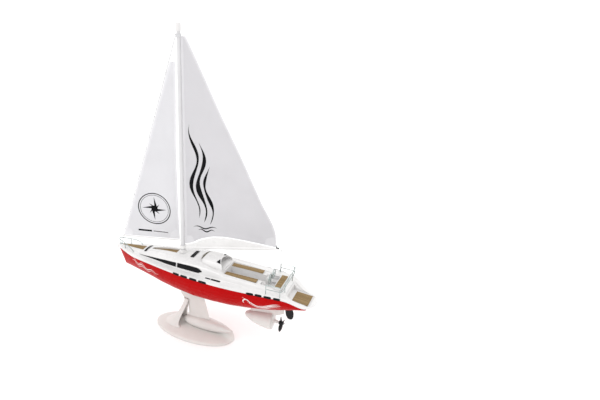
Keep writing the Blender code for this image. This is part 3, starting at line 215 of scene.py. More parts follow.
def sailcloth(name="sailcloth", colour=(0.655, 0.645, 0.665), see_through=0.22):
    """Crisp woven polyester: a fine square weave, faint crinkle, and light through the cloth."""
    made = Shade(name, colour, 0.55)
    made.mottle(made.noise(18, 4), 0.025)
    heights = []
    for direction in ("Z", "X"):
        wave = made.node("ShaderNodeTexWave", wave_type="BANDS", bands_direction=direction)
        wave.inputs["Scale"].default_value = 1 / YARN_WIDTH
        wave.inputs["Distortion"].default_value = 0.4
        made.link(made.place, wave.inputs["Vector"])
        heights.append(wave.outputs["Fac"])
    weave = made.node("ShaderNodeMath", operation="MAXIMUM")
    made.link(heights[0], weave.inputs[0])
    made.link(heights[1], weave.inputs[1])
    made.bump(weave.outputs[0], 0.00006)
    made.bump(made.noise(75, 5, 0.55), 0.00035)
    made.vary_roughness(made.noise(40, 3), 0.48, 0.62)
    made.set("Sheen Weight", 0.15).set("Sheen Roughness", 0.4)
    back = made.node("ShaderNodeBsdfTranslucent")
    back.inputs["Color"].default_value = (*[c * 0.95 for c in colour], 1)
    mix = made.node("ShaderNodeMixShader")
    mix.inputs["Fac"].default_value = see_through
    made.link(made.shader.outputs["BSDF"], mix.inputs[1])
    made.link(back.outputs["BSDF"], mix.inputs[2])
    made.link(mix.outputs["Shader"], made.tree.nodes["Material Output"].inputs["Surface"])
    return made.material


def braid():
    """Braided line: crossing diagonal strands."""
    made = Shade("braided_line", (0.36, 0.36, 0.37), 0.8)
    wave = made.node("ShaderNodeTexWave", wave_type="BANDS", bands_direction="DIAGONAL")
    wave.inputs["Scale"].default_value = 900
    wave.inputs["Distortion"].default_value = 1.0
    made.link(made.place, wave.inputs["Vector"])
    made.link(made.ramp(wave.outputs["Fac"], [(0.2, (0.22, 0.22, 0.23)), (0.8, (0.45, 0.45, 0.46))]),
              made.shader.inputs["Base Color"])
    made.bump(wave.outputs["Fac"], 0.00012)
    return made.material


def brushed(name, colour, roughness):
    made = Shade(name, colour, roughness, 1.0)
    made.mottle(made.noise(300, 4, stretch=(0.05, 1, 1)), 0.08)
    made.vary_roughness(made.noise(500, 4, stretch=(0.05, 1, 1)), roughness * 0.7, roughness * 1.3)
    return made.material


def cast_iron():
    made = Shade("cast_iron", (0.16, 0.16, 0.16), 0.7, 0.6)
    made.mottle(made.noise(400, 5), 0.2)
    made.bump(made.noise(700, 4), 0.0003)
    return made.material


def circuit_board():
    made = Shade("circuit_board", (0.02, 0.15, 0.05), 0.45)
    tracks = made.node("ShaderNodeTexBrick")
    tracks.inputs["Scale"].default_value = 320
    tracks.inputs["Color1"].default_value = (0.015, 0.12, 0.04, 1)
    tracks.inputs["Color2"].default_value = (0.02, 0.17, 0.06, 1)
    tracks.inputs["Mortar"].default_value = (0.10, 0.34, 0.14, 1)
    made.link(made.place, tracks.inputs["Vector"])
    made.link(tracks.outputs["Color"], made.shader.inputs["Base Color"])
    return made.material


def battery_sleeve():
    """A cell's printed sleeve: a dark body and a copper-coloured end band."""
    made = Shade("battery_sleeve", (0.10, 0.12, 0.16), 0.3)
    split = made.node("ShaderNodeSeparateXYZ")
    made.link(made.place, split.inputs["Vector"])
    band = made.remap(split.outputs["X"], -0.0700, -0.0698, 0.0, 1.0)
    colour = made.ramp(band, [(0.0, (0.03, 0.035, 0.05)), (1.0, (0.42, 0.20, 0.07))])
    made.link(colour, made.shader.inputs["Base Color"])
    made.bump(made.noise(500, 3), 0.00004)
    return made.material


SLOTS = {
    "red_hull": moulded("red_hull", (0.390, 0.0020, 0.0026), 0.28, specular=0.035),
    "white_moulding": moulded("white_moulding", (0.665, 0.655, 0.65), 0.30, coat=0.10),
    "white_plastic": moulded("white_plastic", (0.665, 0.655, 0.65), 0.32, coat=0.10),
    "stand_moulding": moulded("stand_moulding", (0.632, 0.606, 0.584), 0.36, coat=0.06, grain=0.00002),
    "black_glazing": moulded("black_glazing", (0.005, 0.005, 0.006), 0.16, specular=0.1),
    "black_plastic": moulded("black_plastic", (0.010, 0.010, 0.011), 0.42, grain=0.00003, specular=0.2),
    "deck_pad": planked_pad(),
    "chrome_plate": chrome_plate(),
    "sailcloth": sailcloth(),
    "line": braid(),
    "steel": brushed("steel", (0.56, 0.56, 0.57), 0.3),
    "iron": cast_iron(),
    "circuit_board": circuit_board(),
    "battery_skin": battery_sleeve(),
}
PRINT_BLACK = moulded("print_black", (0.004, 0.004, 0.005), 0.6, specular=0.08)
PRINT_WHITE = moulded("print_white", (0.74, 0.68, 0.67), 0.4, specular=0.3)
TINTED_GLAZING = moulded("tinted_glazing", (0.085, 0.070, 0.044), 0.3, specular=0.15)

for part in frame["record"]["subparts"]:
    node = nodes[part["node"]]
    node.data.materials.clear()
    node.data.materials.append(SLOTS[part["material_slot"]])
SATIN_PLATE = brushed("satin_plate", (0.60, 0.60, 0.61), 0.5)
nodes["stay_crane"].data.materials[0] = SATIN_PLATE
# The mast is the deck's white moulding; this darker copy paints the soft shade that lies along it.
nodes["mast"].data.materials[0] = moulded("mast_moulding_painted_shade", (0.585, 0.580, 0.590), 0.34, coat=0.08)
# The boom is the same white moulding; this lighter copy paints the brighter light that falls on it.
nodes["boom"].data.materials[0] = moulded("boom_moulding_painted_light", (0.745, 0.735, 0.730), 0.30, coat=0.10)


# ---- making pieces ---------------------------------------------------------------------------
def piece(name, bm, slot, body, material=None):
    """A bmesh in millimetres becomes a piece in metres that rides on a body."""
    bmesh.ops.recalc_face_normals(bm, faces=bm.faces)
    bmesh.ops.scale(bm, vec=(MM, MM, MM), verts=bm.verts)
    mesh = bpy.data.meshes.new(name)
    bm.to_mesh(mesh)
    bm.free()
    mesh.shade_smooth()
    mesh.set_sharp_from_angle(angle=math.radians(SHARP_DEGREES))
    mesh.materials.append(material or SLOTS[slot])
    obj = bpy.data.objects.new(name, mesh)
    bpy.context.scene.collection.objects.link(obj)
    if body:
        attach(obj, body)
    return obj


def add_slab(bm, top, under):
    """Adds a closed sheet between two grids of points."""
    upper = [[bm.verts.new(p) for p in row] for row in top]
    lower = [[bm.verts.new(p) for p in row] for row in under]
    rows, cols = len(upper), len(upper[0])
    for i in range(rows - 1):
        for j in range(cols - 1):
            bm.faces.new((upper[i][j], upper[i + 1][j], upper[i + 1][j + 1], upper[i][j + 1]))
            bm.faces.new((lower[i][j], lower[i][j + 1], lower[i + 1][j + 1], lower[i + 1][j]))
        for j in (0, cols - 1):
            bm.faces.new((upper[i][j], upper[i + 1][j], lower[i + 1][j], lower[i][j]))
    for j in range(cols - 1):
        for i in (0, rows - 1):
            bm.faces.new((upper[i][j], upper[i][j + 1], lower[i][j + 1], lower[i][j]))


def add_tube(bm, path, radius, sides):
    """Adds a round tube along a path, closed at both ends."""
    turns = [2 * math.pi * k / sides for k in range(sides)]
    side, rows = None, []
    for i, point in enumerate(path):
        ahead = (path[min(i + 1, len(path) - 1)] - path[max(i - 1, 0)]).normalized()
        side = ahead.orthogonal() if side is None else side - ahead * side.dot(ahead)
        side.normalize()
        other = ahead.cross(side)
        rows.append([bm.verts.new(point + (side * math.cos(a) + other * math.sin(a)) * radius)
                     for a in turns])
    for low, high in zip(rows, rows[1:]):
        for k in range(sides):
            m = (k + 1) % sides
            bm.faces.new((low[k], low[m], high[m], high[k]))
    bm.faces.new(rows[0][::-1])
    bm.faces.new(rows[-1])


def add_ring(bm, centre, axis, radius, tube, segments, sides):
    """Adds a torus: radius is to the middle of the tube, and tube is its own radius."""
    along = Vector(axis).normalized()
    side = along.orthogonal().normalized()
    other = along.cross(side)
    turns = [2 * math.pi * s / sides for s in range(sides)]
    rows = []
    for k in range(segments):
        a = 2 * math.pi * k / segments
        out = side * math.cos(a) + other * math.sin(a)
        rows.append([bm.verts.new(Vector(centre) + out * (radius + tube * math.cos(b))
                                  + along * tube * math.sin(b)) for b in turns])
    for k in range(segments):
        low, high = rows[k], rows[(k + 1) % segments]
        for s in range(sides):
            t = (s + 1) % sides
            bm.faces.new((low[s], low[t], high[t], high[s]))


# ---- sails -----------------------------------------------------------------------------------
def swung(r, z, across=0.0):
    """A point of the swung rig, from its distance aft of the mast, its height and how far to port it is."""
    turned = Matrix.Rotation(MAIN_SWING, 3, "Z") @ Vector((-r, across, 0))
    return Vector((MAST_X + turned.x, turned.y, z))


def curve_through(points):
    """A smooth function through (x, value) points, with no overshoot between them."""
    xs = np.array([p[0] for p in points], float)
    ys = np.array([p[1] for p in points], float)
    steps = np.diff(xs)
    rates = np.diff(ys) / steps
    slopes = np.zeros(len(xs))
    slopes[0], slopes[-1] = rates[0], rates[-1]
    for i in range(1, len(xs) - 1):
        if rates[i - 1] * rates[i] > 0:
            left = 2 * steps[i] + steps[i - 1]
            right = steps[i] + 2 * steps[i - 1]
            slopes[i] = (left + right) / (left / rates[i - 1] + right / rates[i])

    def value(x):
        i = int(np.clip(np.searchsorted(xs, x) - 1, 0, len(steps) - 1))
        t = (np.clip(x, xs[0], xs[-1]) - xs[i]) / steps[i]
        start = (1 + 2 * t) * (1 - t) ** 2 * ys[i] + t * (1 - t) ** 2 * steps[i] * slopes[i]
        end = t * t * (3 - 2 * t) * ys[i + 1] + t * t * (t - 1) * steps[i] * slopes[i + 1]
        return float(start + end)

    return value


BOOM_ARCH = curve_through([(6, 217.5), (16, 219.5), (45, 234), (74, 241.8), (92, 243.0), (130, 240.5),
                           (170, 235.6), (200, 231.5), (214, 229.8), (220, 228.8)])
MAIN_LEECH = curve_through([(231.5, 205), (255, 204), (338.8, 167.1), (433, 123.2), (516.7, 81.5),
                            (602.4, 41.6), (653.7, 16.7), (660.5, 13.0)])
JIB_LEECH = curve_through([(211.5, 48.3), (311, 47.3), (399, 46), (515, 41.2), (612, 37.2)])
MAIN_HEAD_Z, CLEW_Z = 660.5, 234.0
BOOM_NOSE, FOOT_GAP = 7.0, 2.2  # where the foot starts aft of the mast, and its height over the boom
LUFF_FOOT, LUFF_TAPER = 5.4, 1.6  # the luff's distance aft of the mast at its foot, less this at its head
JIB_HEAD_Z, JIB_FOOT_Z, JIB_FOOT_RISE, JIB_LUFF_GAP = 612.0, 205.5, 6.0, 1.4
MAIN_CAMBER, JIB_CAMBER = 0.036, 0.045  # the belly's depth as a share of the sail's width
CLOTH, CLOTH_GAP = 0.4, 0.02  # the cloth's thickness, and the gap under what is sewn or printed on it
PRINT_SKIN, HEM_SKIN, PATCH_SKIN = 0.05, 0.22, 0.32
SHEET_WIDE = 0.8


def camber(u, v, depth):
    """The sail's belly: fullest a little ahead of the middle, and none along the edges."""
    along = math.sin(math.pi * u ** 0.85)
    up = (1 - (1 - v) ** 7) * (1 - v ** 5)
    return depth * along * (0.25 + 0.75 * up) if up > 0 else 0.0


def main_foot(u):
    """The height of the mainsail's foot, which follows the top of the boom."""
    return BOOM_ARCH(BOOM_NOSE + (MAIN_LEECH(CLEW_Z) - BOOM_NOSE) * u) + FOOT_GAP


def main_point(u, v, out=0.0):
    """A point of the mainsail: u from luff to leech, v from foot to head, out to starboard of the cloth."""
    luff_r = LUFF_FOOT - LUFF_TAPER * v
    foot = main_foot(u)
    z = foot + (MAIN_HEAD_Z - foot) * v
    leech_r = MAIN_LEECH(max(CLEW_Z, z))
    r = luff_r + (leech_r - luff_r) * u
    chord = leech_r - luff_r
    belly = camber(u, v, MAIN_CAMBER * chord)
    crease = 0.35 * math.sin(u * 9 + v * 26) * math.exp(-9 * (1 - u) * (1 - u) - 14 * v * v)
    crease += 0.22 * math.sin(v * 40 + u * 5) * math.exp(-40 * u * u)
    return swung(r, z, -(belly + crease + out))


def stay_x(z):
    """How far forward the forestay is at a height."""
    share = (z - STAY_LOW.z) / (STAY_HIGH.z - STAY_LOW.z)
    return STAY_LOW.x + (STAY_HIGH.x - STAY_LOW.x) * share


JIB_TURN = (Matrix.Translation(STAY_LOW) @ Matrix.Rotation(JIB_SWING, 4, STAY_AXIS)
            @ Matrix.Translation(-STAY_LOW))


def jib_point(u, v, out=0.0):
    """A point of the jib, as for the mainsail."""
    foot = JIB_FOOT_Z + JIB_FOOT_RISE * u
    z = foot + (JIB_HEAD_Z - foot) * v
    luff = stay_x(z) - JIB_LUFF_GAP
    leech = JIB_LEECH(z)
    belly = camber(u, v, JIB_CAMBER * (luff - leech))
    crease = 0.25 * math.sin(v * 46 + u * 6) * math.exp(-30 * u * u)
    return JIB_TURN @ Vector((luff + (leech - luff) * u, -(belly + crease + out), z))


def flat_area(point, nu=40, nv=60):
    """The sail's area in square metres, from its own grid."""
    total = 0.0
    for i in range(nu):
        for j in range(nv):
            a, b = point(i / nu, j / nv), point((i + 1) / nu, j / nv)
            c, d = point((i + 1) / nu, (j + 1) / nv), point(i / nu, (j + 1) / nv)
            total += ((b - a).cross(c - a).length + (c - a).cross(d - a).length) / 2
    return total * MM * MM


def make_sail(name, point, body, nu, nv, cloth=None):
    """One sail's cloth as a thin closed sheet of nu by nv faces."""
    bm = bmesh.new()
    top = [[point(i / nu, j / nv, CLOTH / 2) for i in range(nu + 1)] for j in range(nv + 1)]
    under = [[point(i / nu, j / nv, -CLOTH / 2) for i in range(nu + 1)] for j in range(nv + 1)]
    add_slab(bm, top, under)
    return piece(name, bm, "sailcloth", body, cloth)


MAIN_TAPE = sailcloth("sail_tape", (0.69, 0.68, 0.70), 0.10)
JIB_CLOTH = sailcloth("jib_cloth", (0.745, 0.74, 0.76))
JIB_TAPE = sailcloth("jib_tape", (0.77, 0.765, 0.785), 0.10)


def ribbon(bm, point, path, skin):
    """Adds thin strips on both faces of a sail; path is rows of (u, v) pairs across the strip."""
    near = CLOTH / 2 + CLOTH_GAP
    far = near + skin
    for hand in (1, -1):
        top = [[point(u, v, hand * far) for u, v in row] for row in path]
        under = [[point(u, v, hand * near) for u, v in row] for row in path]
        add_slab(bm, top, under)


def hem_rows(point, edge, width_mm, count=60):
    """Rows across a hem of one width along one edge of a sail: the luff, leech or foot."""
    rows = []
    for k in range(count + 1):
        t = k / count
        if edge in ("luff", "leech"):
            chord = max(6.0, (point(1, t) - point(0, t)).length)
            wide = min(0.45, width_mm / chord)
            rows.append([(wide * s, t) if edge == "luff" else (1 - wide * s, t) for s in (0, 0.5, 1)])
        else:
            tall = width_mm / (point(t, 1) - point(t, 0)).length
            rows.append([(t, tall * s) for s in (0, 0.5, 1)])
    return rows


def corner_rows(cu, cv, point, size_mm, rings=6):
    """A reinforcing patch at a corner: rows of a quarter fan clipped to the sail."""
    rows = []
    for i in range(rings + 1):
        t = i / rings
        row = []
        for j in range(9):
            a = math.pi / 2 * j / 8
            u = math.cos(a) ** 0.8 * size_mm * t
            v = math.sin(a) ** 0.8 * size_mm * t
            chord = max(20.0, (point(1, cv) - point(0, cv)).length)
            tall = (point(cu, 1) - point(cu, 0)).length
            row.append((abs(cu - min(0.98, u / chord)), abs(cv - min(0.9, v / tall))))
        rows.append(row)
    return rows


main_sail = make_sail("mainsail_cloth", main_point, "mainsail_and_boom", 36, 72)
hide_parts("mainsail")
jib_sail = make_sail("jib_cloth", jib_point, "jib_and_club", 28, 64, JIB_CLOTH)
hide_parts("jib")

for key, point, body, tape in (("mainsail", main_point, "mainsail_and_boom", MAIN_TAPE),
                               ("jib", jib_point, "jib_and_club", JIB_TAPE)):
    hems = bmesh.new()
    for edge, width in (("luff", 5.0), ("leech", 4.0), ("foot", 4.0)):
        ribbon(hems, point, hem_rows(point, edge, width), HEM_SKIN)
    patches = bmesh.new()
    for cu, cv, size in ((0.0, 0.0, 20), (1.0, 0.0, 24)):
        ribbon(patches, point, corner_rows(cu, cv, point, size)[1:], PATCH_SKIN)
    [piece(f"{key}_{part}", bm, "sailcloth", body, tape)
                 for part, bm in (("hems", hems), ("patches", patches))]


# ---- printed decoration on the sails -----------------------------------------------------------
def main_uv(r, z):
    """The mainsail's own coordinates at a distance aft of the mast and a height."""
    share = min(1.0, max(0.0, (z - CLEW_Z) / (MAIN_HEAD_Z - CLEW_Z)))
    luff = LUFF_FOOT - LUFF_TAPER * share
    u = (r - luff) / (MAIN_LEECH(max(CLEW_Z, z)) - luff)
    foot = main_foot(u)
    return u, (z - foot) / (MAIN_HEAD_Z - foot)


def jib_uv(x, z):
    """The jib's own coordinates at a place along the boat and a height."""
    luff = stay_x(z) - JIB_LUFF_GAP
    u = (luff - x) / (luff - JIB_LEECH(z))
    foot = JIB_FOOT_Z + JIB_FOOT_RISE * u
    return u, (z - foot) / (JIB_HEAD_Z - foot)


def stroke(centre, width, steps, to_uv):
    """Rows across a drawn line: centre(t) gives its middle and width(t) its width, both in millimetres."""
    rows = []
    for k in range(steps + 1):
        t = k / steps
        here, ahead = Vector(centre(t)), Vector(centre(t + 0.001))
        side = (ahead - here).normalized().orthogonal() * max(0.12, width(t)) / 2
        rows.append([to_uv(*(here + side * s)) for s in (1, 0, -1)])
    return rows


def swell(t, most):
    """A pen stroke's width, thin at both ends."""
    return most * math.sin(math.pi * min(1.0, max(0.0, t))) ** 0.8


def sail_waves():
    """Three drawn streamers that climb the mainsail near its luff, side by side, over two small waves."""
    bm = bmesh.new()
    for start_r, low, high, most in ((31, 284, 490, 8.5), (46, 274, 452, 11.0), (61, 270, 402, 8.0)):
        def climbing(t, r=start_r, a=low, b=high):
            z = a + (b - a) * t
            return r - 7 * t + 8.0 * math.sin(2 * math.pi * (z - 270) / 118), z

        def pressed(t, w=most):
            return swell(t, w) * (0.75 + 0.25 * math.cos(16 * t))

        ribbon(bm, main_point, stroke(climbing, pressed, 70, main_uv), PRINT_SKIN)
    for middle_r, level, wide in ((50, 262, 52), (53, 255, 36)):
        def level_wave(t, r=middle_r, z=level, w=wide):
            return r - w / 2 + w * t, z + 2.6 * math.sin(9.4 * t)

        ribbon(bm, main_point, stroke(level_wave, lambda t: swell(t, 2.8), 36, main_uv), PRINT_SKIN)
    return piece("mainsail_waves", bm, "black_plastic", "mainsail_and_boom", PRINT_BLACK)


def compass_star():
    """Two rings round an eight-pointed star on the jib."""
    bm = bmesh.new()
    cx, cz = 106.0, 281.0
    turns = [2 * math.pi * k / 72 for k in range(73)]
    for radius, wide in ((38.0, 2.2), (33.5, 0.9)):
        edges = (radius - wide / 2, radius + wide / 2)
        ring = [[jib_uv(cx + r * math.cos(a), cz + r * math.sin(a)) for r in edges] for a in turns]
        ribbon(bm, jib_point, ring, PRINT_SKIN)
    for k in range(8):
        a = math.pi / 4 * k
        long, half = (29.0, 7.6) if k % 2 == 0 else (17.0, 5.6)
        rows = []
        for j in range(9):
            reach = long * j / 8
            wide = half * (1 - j / 8) + 0.05
            rows.append([jib_uv(cx + reach * math.cos(a) - s * wide * math.sin(a),
                                cz + reach * math.sin(a) + s * wide * math.cos(a)) for s in (0.0, 1.0)])
        ribbon(bm, jib_point, rows, PRINT_SKIN)
    return piece("jib_compass", bm, "black_plastic", "jib_and_club", PRINT_BLACK)


def jib_bar():
    """Two plain bars under the star, one thick and one thin."""
    bm = bmesh.new()
    for x0, x1, z0, z1, tall in ((149, 116, 222.5, 223.0, 4.2), (112, 76, 223.2, 223.8, 1.6)):
        rows = [[jib_uv(x0 + (x1 - x0) * k / 16, z0 + (z1 - z0) * k / 16 + s * tall / 2) for s in (-1, 1)]
                for k in range(17)]
        ribbon(bm, jib_point, rows, PRINT_SKIN)
    return piece("jib_bar", bm, "black_plastic", "jib_and_club", PRINT_BLACK)


main_prints = [sail_waves()]
jib_prints = [compass_star(), jib_bar()]


# ---- trim on the hull and deck -----------------------------------------------------------------
def tree_of(name):
    """A search tree over a node's shape, in millimetres."""
    mesh = nodes[name].data
    verts = [nodes[name].matrix_world @ v.co / MM for v in mesh.vertices]
    return BVHTree.FromPolygons(verts, [list(face.vertices) for face in mesh.polygons])


HULL = tree_of("hull_shell")
DECK = tree_of("deck_moulding")
HOOD = tree_of("sprayhood")
FAR = 200.0  # where rays towards the boat start
PAINT_PROUD, BAR_PROUD, WINDOW_PROUD = 0.12, 0.15, 0.3
LIGHT_PROUD, LIGHT_SINK = 0.5, -0.6
LIGHT_TALL, LIGHT_RAISED = 5.0, 1.8  # a portlight's height, and how far its middle is over the joint
JOINT_TOP, JOINT_BOTTOM, JOINT_STEP = 184.0, 150, 0.25
CABIN_BAR_Y = 46.6
NUDGES = (0.0, 0.3, -0.3, 0.6, -0.6, 1.0, -1.0, -2.0)  # a ray that falls in a gap tries beside it


def side_hit(tree, x, z, hand):
    """Where a level ray from one side meets that side of the surface, and the way out."""
    for nudge in NUDGES:
        spot, normal, _, _ = tree.ray_cast(Vector((x, hand * FAR, z + nudge)), Vector((0, -hand, 0)))
        if spot is not None and spot.y * hand > 0:
            return Vector((x, spot.y, z)), normal if normal.y * hand > 0 else -normal
    return None


def top_hit(tree, x, y):
    """Where a ray from above meets the surface, and the way out."""
    for nudge in NUDGES:
        spot, normal, _, _ = tree.ray_cast(Vector((x + nudge, y, 1.5 * FAR)), Vector((0, 0, -1)))
        if spot is not None:
            return Vector((x, y, spot.z)), normal if normal.z > 0 else -normal
    return None


def skin_on(bm, hits, proud, sink=0.05):
    """Adds a thin skin over a grid of hits, standing proud of the surface."""
    add_slab(bm, [[spot + normal * proud for spot, normal in row] for row in hits],
             [[spot + normal * sink for spot, normal in row] for row in hits])


def level_reach(tree, x, z):
    """How far to port a level ray meets the surface, or None."""
    spot = tree.ray_cast(Vector((x, FAR, z)), Vector((0, -1, 0)))[0]
    return spot.y if spot is not None and spot.y > 0 else None


def joint_height(x):
    """The height where the deck's edge meets the hull, as the middle of three readings."""
    found = []
    for at in (x - 1.5, x, x + 1.5):
        z = JOINT_TOP
        while z > JOINT_BOTTOM:
            hull, deck = level_reach(HULL, at, z), level_reach(DECK, at, z)
            if hull and (deck is None or hull >= deck):
                break
            z -= JOINT_STEP
        found.append(z)
    return sorted(found)[1]


def portlights():
    """Two rows of four small dark lights on each side, over the joint of hull and deck."""
    for hand, side in HANDS:
        for row, spans in (("fore", ((20.8, 5.5), (1.4, -15.0), (-20.5, -38.0), (-42.3, -60.6))),
                           ("aft", ((-148.9, -163.5), (-166.7, -180.7), (-184.8, -199.5), (-203.9, -217.3)))):
            stations = np.linspace(spans[0][0], spans[-1][1], 15)
            joint_line = np.polyfit(stations, [joint_height(x) for x in stations], 2)
            bm = bmesh.new()
            for front, back in spans:
                hits = []
                for i in range(9):
                    s = -1 + 2 * i / 8
                    half = LIGHT_TALL / 2 * (1 - 0.35 * abs(s) ** 8)
                    x = (front + back) / 2 + (front - back) / 2 * s
                    middle = float(np.polyval(joint_line, x)) + LIGHT_RAISED
                    way = side_hit(HULL, x, middle - LIGHT_TALL, hand)[1]
                    heights = [middle + half * k for k in (-1, -0.5, 0, 0.5, 1)]
                    reach = max(level_reach(tree, x, z) or 0 for tree in (HULL, DECK) for z in heights)
                    out = Vector((way.x, way.y, 0)).normalized()
                    hits.append([(Vector((x, hand * reach, middle + half * k)), out) for k in (-1, 0, 1)])
                skin_on(bm, hits, LIGHT_PROUD, LIGHT_SINK)
            piece(f"portlights_{row}_{side}", bm, "black_glazing", "boat")


def side_strokes(name, strokes, hand, steps=36):
    """White drawn strokes on one side of the hull: each has centre(t) as (x, z) and width(t)."""
    bm = bmesh.new()
    for centre, width in strokes:
        hits = []
        for k in range(steps + 1):
            t = k / steps
            here, ahead = Vector(centre(t)), Vector(centre(t + 0.001))
            across = (ahead - here).normalized().orthogonal() * max(0.15, width(t)) / 2
            hits.append([side_hit(HULL, *(here + across * s), hand) for s in (1, 0, -1)])
        skin_on(bm, hits, PAINT_PROUD)
    return piece(name, bm, "white_plastic", "boat", PRINT_WHITE)


def hull_waves():
    """Plain white breaking waves at the bow and the quarter."""

    def quarter(t, lift=0.0):
        return -140 - 80 * t, 152.0 + lift + 11.0 * math.cos(2 * math.pi * (1.02 * t + 0.02)) * (1 - 0.6 * t)

    def curl(t):
        a = math.radians(200 - 250 * t)
        r = 9.5 - 4.2 * t
        return -147 + r * math.cos(a) * 0.9, 151.5 + r * math.sin(a)

    quarter_strokes = [(quarter, lambda t: swell(t, 3.2)),
                       (lambda t: quarter(t * 0.82 + 0.14, -5.0), lambda t: swell(t, 2.2)),
                       (lambda t: quarter(t * 0.55 + 0.42, 3.6), lambda t: swell(t, 1.6)),
                       (curl, lambda t: swell(t, 2.6))]

    def bow(t, lift=0.0):
        return 150 - 86 * t, 159.0 - 3.0 * t + lift + 3.8 * math.sin(2 * math.pi * 3.0 * t) * (1 - 0.5 * t)

    bow_strokes = [(bow, lambda t: swell(t, 2.0)),
                   (lambda t: bow(t * 0.8 + 0.12, -5.0), lambda t: swell(t, 1.1)),
                   (lambda t: bow(t * 0.5 + 0.02, 4.4), lambda t: swell(t, 1.0))]
    for hand, side in HANDS:
        side_strokes(f"hull_waves_quarter_{side}", quarter_strokes, hand)
        side_strokes(f"hull_waves_bow_{side}", bow_strokes, hand)


def cabin_bar():
    """Two plain dark bars on each side of the cabin, abreast of the hood."""
    for hand, side in HANDS:
        bm = bmesh.new()
        for front, back, tall in ((-51.5, -63.5, 4.0), (-65.0, -86.0, 5.5)):
            hits = [[top_hit(DECK, front + (back - front) * k / 10, hand * (CABIN_BAR_Y + tall * s))
                     for s in (-0.5, 0, 0.5)] for k in range(11)]
            skin_on(bm, hits, BAR_PROUD)
        piece(f"cabin_bar_{side}", bm, "black_plastic", "boat", PRINT_BLACK)


def hood_windows():
    """The hood's curved front window and a three-cornered one on each side, by its rear rim."""
    bm = bmesh.new()
    hits = []
    for k in range(25):
        share = -1 + 2 * k / 24
        y = -2.5 + 20.5 * share
        edge = -23.6 - 8.4 * (abs(y) / 22.5) ** 2.2
        deep = 10.5 * (1 - share * share) ** 0.6 + 0.15
        hits.append([top_hit(HOOD, edge - deep * s, y) for s in (0, 0.33, 0.67, 1)])
    skin_on(bm, hits, WINDOW_PROUD)
    piece("hood_front_window", bm, "black_glazing", "boat", TINTED_GLAZING)
    for hand, side in HANDS:
        bm = bmesh.new()
        tip, high, low = Vector((-64.8, 20.2)), Vector((-69.3, 9.5)), Vector((-74.6, 20.6))
        hits = []
        for i in range(9):
            s = 0.02 + 0.98 * i / 8
            a, b = tip.lerp(high, s), tip.lerp(low, s)
            hits.append([top_hit(HOOD, q.x, hand * q.y) for q in (a.lerp(b, j / 5) for j in range(6))])
        skin_on(bm, hits, WINDOW_PROUD)
        piece(f"hood_window_{side}", bm, "black_glazing", "boat")


portlights()
hull_waves()
cabin_bar()
hood_windows()


# ---- rigging -----------------------------------------------------------------------------------
def end_of(name, top):
    """The middle of a plain tube's upper or lower end, in millimetres."""
    points = [nodes[name].matrix_world @ v.co / MM for v in nodes[name].data.vertices]
    limit = max(p.z for p in points) if top else min(p.z for p in points)
    near = [p for p in points if abs(p.z - limit) < 0.5]
    return sum(near, Vector()) / len(near)


def add_ball(bm, centre, size):
    """Adds a ball that is stretched to a size along each axis."""
    made = bmesh.ops.create_uvsphere(bm, u_segments=14, v_segments=10, radius=1.0)["verts"]
    bmesh.ops.scale(bm, vec=size, verts=made)
    bmesh.ops.translate(bm, vec=centre, verts=made)


def rig_mainsheet():
    """The braided sheet from its eye on the quarter up to the boom's end, with a knot at each end."""
    foot, head = end_of("mainsheet", False), end_of("mainsheet", True)
    path = [foot.lerp(head, k / 40) for k in range(41)]
    bm = bmesh.new()
    add_tube(bm, path, SHEET_WIDE / 2, 10)
    line = piece("mainsheet_line", bm, "line", None)
    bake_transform(line)
    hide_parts("mainsheet")
    for name, spot, body in (("mainsheet_foot_knot", foot + Vector((0, 0, 0.5)), "boat"),
                             ("mainsheet_head_knot", head - Vector((0, 0, 0.7)), "mainsail_and_boom")):
        bm = bmesh.new()
        add_ball(bm, spot, (0.95, 0.95, 1.15))
        add_ring(bm, spot + Vector((0, 0, 0.55)), (0.2, 0.1, 1), 0.75, 0.38, 18, 8)
        piece(name, bm, "line", body)


def luff_slides():
    """Small clips that hold the mainsail's luff to the mast."""
    bm = bmesh.new()
    for k in range(9):
        z = 262 + 46 * k
        share = (z - CLEW_Z) / (MAIN_HEAD_Z - CLEW_Z)
        r = LUFF_FOOT - LUFF_TAPER * share
        add_ring(bm, swung(r + 0.9, z), swung(1, 0) - swung(0, 0), 1.3, 0.35, 16, 6)
    return piece("luff_slides", bm, "white_plastic", "mainsail_and_boom")


def jib_hanks():
    """Small rings that hold the jib's luff to the forestay."""
    bm = bmesh.new()
    for k in range(9):
        z = 222 + 46 * k
        add_ring(bm, Vector((stay_x(z) - 0.3, 0, z)), STAY_AXIS, 1.5, 0.3, 18, 6)
    return piece("jib_hanks", bm, "chrome_plate", "jib_and_club", SATIN_PLATE)


rig_mainsheet()
luff_slides()
jib_hanks()


flat_area(main_point)
flat_area(jib_point)


# ---- stage -----------------------------------------------------------------------------------
IMAGE_WIDE = 600


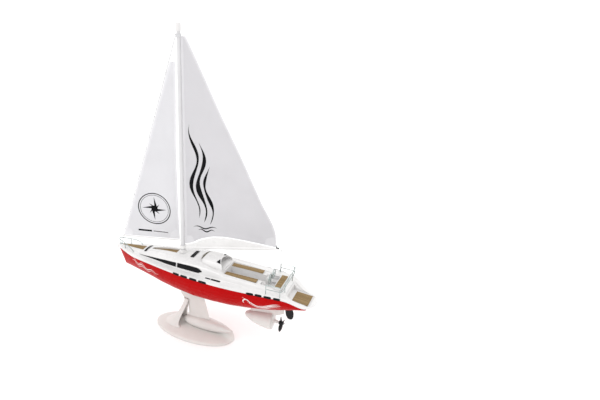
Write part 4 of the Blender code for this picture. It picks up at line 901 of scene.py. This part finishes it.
def make_floor():
    """A wide sheet of white paper, just under the stand."""
    bm = bmesh.new()
    bmesh.ops.create_grid(bm, x_segments=1, y_segments=1, size=30.0)
    mesh = bpy.data.meshes.new("floor")
    bm.to_mesh(mesh)
    bm.free()
    shade = Shade("floor_paper", (0.97, 0.97, 0.97), 0.9)
    shade.mottle(shade.noise(3, 3), 0.008)
    mesh.materials.append(shade.material)
    obj = bpy.data.objects.new("floor", mesh)
    bpy.context.scene.collection.objects.link(obj)
    obj.location.z = -0.0004


def area_light(name, place, target, size, power):
    """A soft rectangular light that faces a target, in metres and watts."""
    data = bpy.data.lights.new(name, "AREA")
    data.shape = "RECTANGLE"
    data.size, data.size_y = size
    data.energy = power
    obj = bpy.data.objects.new(name, data)
    bpy.context.scene.collection.objects.link(obj)
    obj.location = place
    obj.rotation_euler = (Vector(target) - Vector(place)).to_track_quat("-Z", "Y").to_euler()


def make_world():
    """Even white light from all sides."""
    world = bpy.data.worlds.new("studio")
    world.use_nodes = True
    back = world.node_tree.nodes["Background"]
    back.inputs["Color"].default_value = (1.0, 1.0, 1.0, 1)
    back.inputs["Strength"].default_value = 1.25
    bpy.context.scene.world = world


def make_camera():
    """The picture's own view: a level boat seen from its port side, aft of the beam, 21 degrees down."""
    look = Vector((0.40788, -0.83813, -0.36218)).normalized()
    up = Vector((0.16224, -0.32383, 0.93210))
    up = (up - look * up.dot(look)).normalized()
    right = look.cross(up)
    data = bpy.data.cameras.new("camera")
    data.sensor_width, data.lens = 36, 30
    data.shift_x, data.shift_y = 85 / IMAGE_WIDE, -15 / IMAGE_WIDE
    data.clip_start, data.clip_end = 0.05, 40
    obj = bpy.data.objects.new("camera", data)
    bpy.context.scene.collection.objects.link(obj)
    turn = Matrix((right, up, -look)).transposed().to_4x4()
    turn.translation = Vector((-0.46693, 0.85476, 0.74087))
    obj.matrix_world = turn
    bpy.context.scene.camera = obj


make_floor()
make_world()
make_camera()
area_light("key", (0.9, 1.1, 2.4), (0, 0, 0.25), (1.4, 1.4), 14)
area_light("back", (-1.0, -1.2, 2.2), (0, 0, 0.3), (1.4, 1.2), 6)
bpy.context.scene.view_settings.view_transform = "Standard"
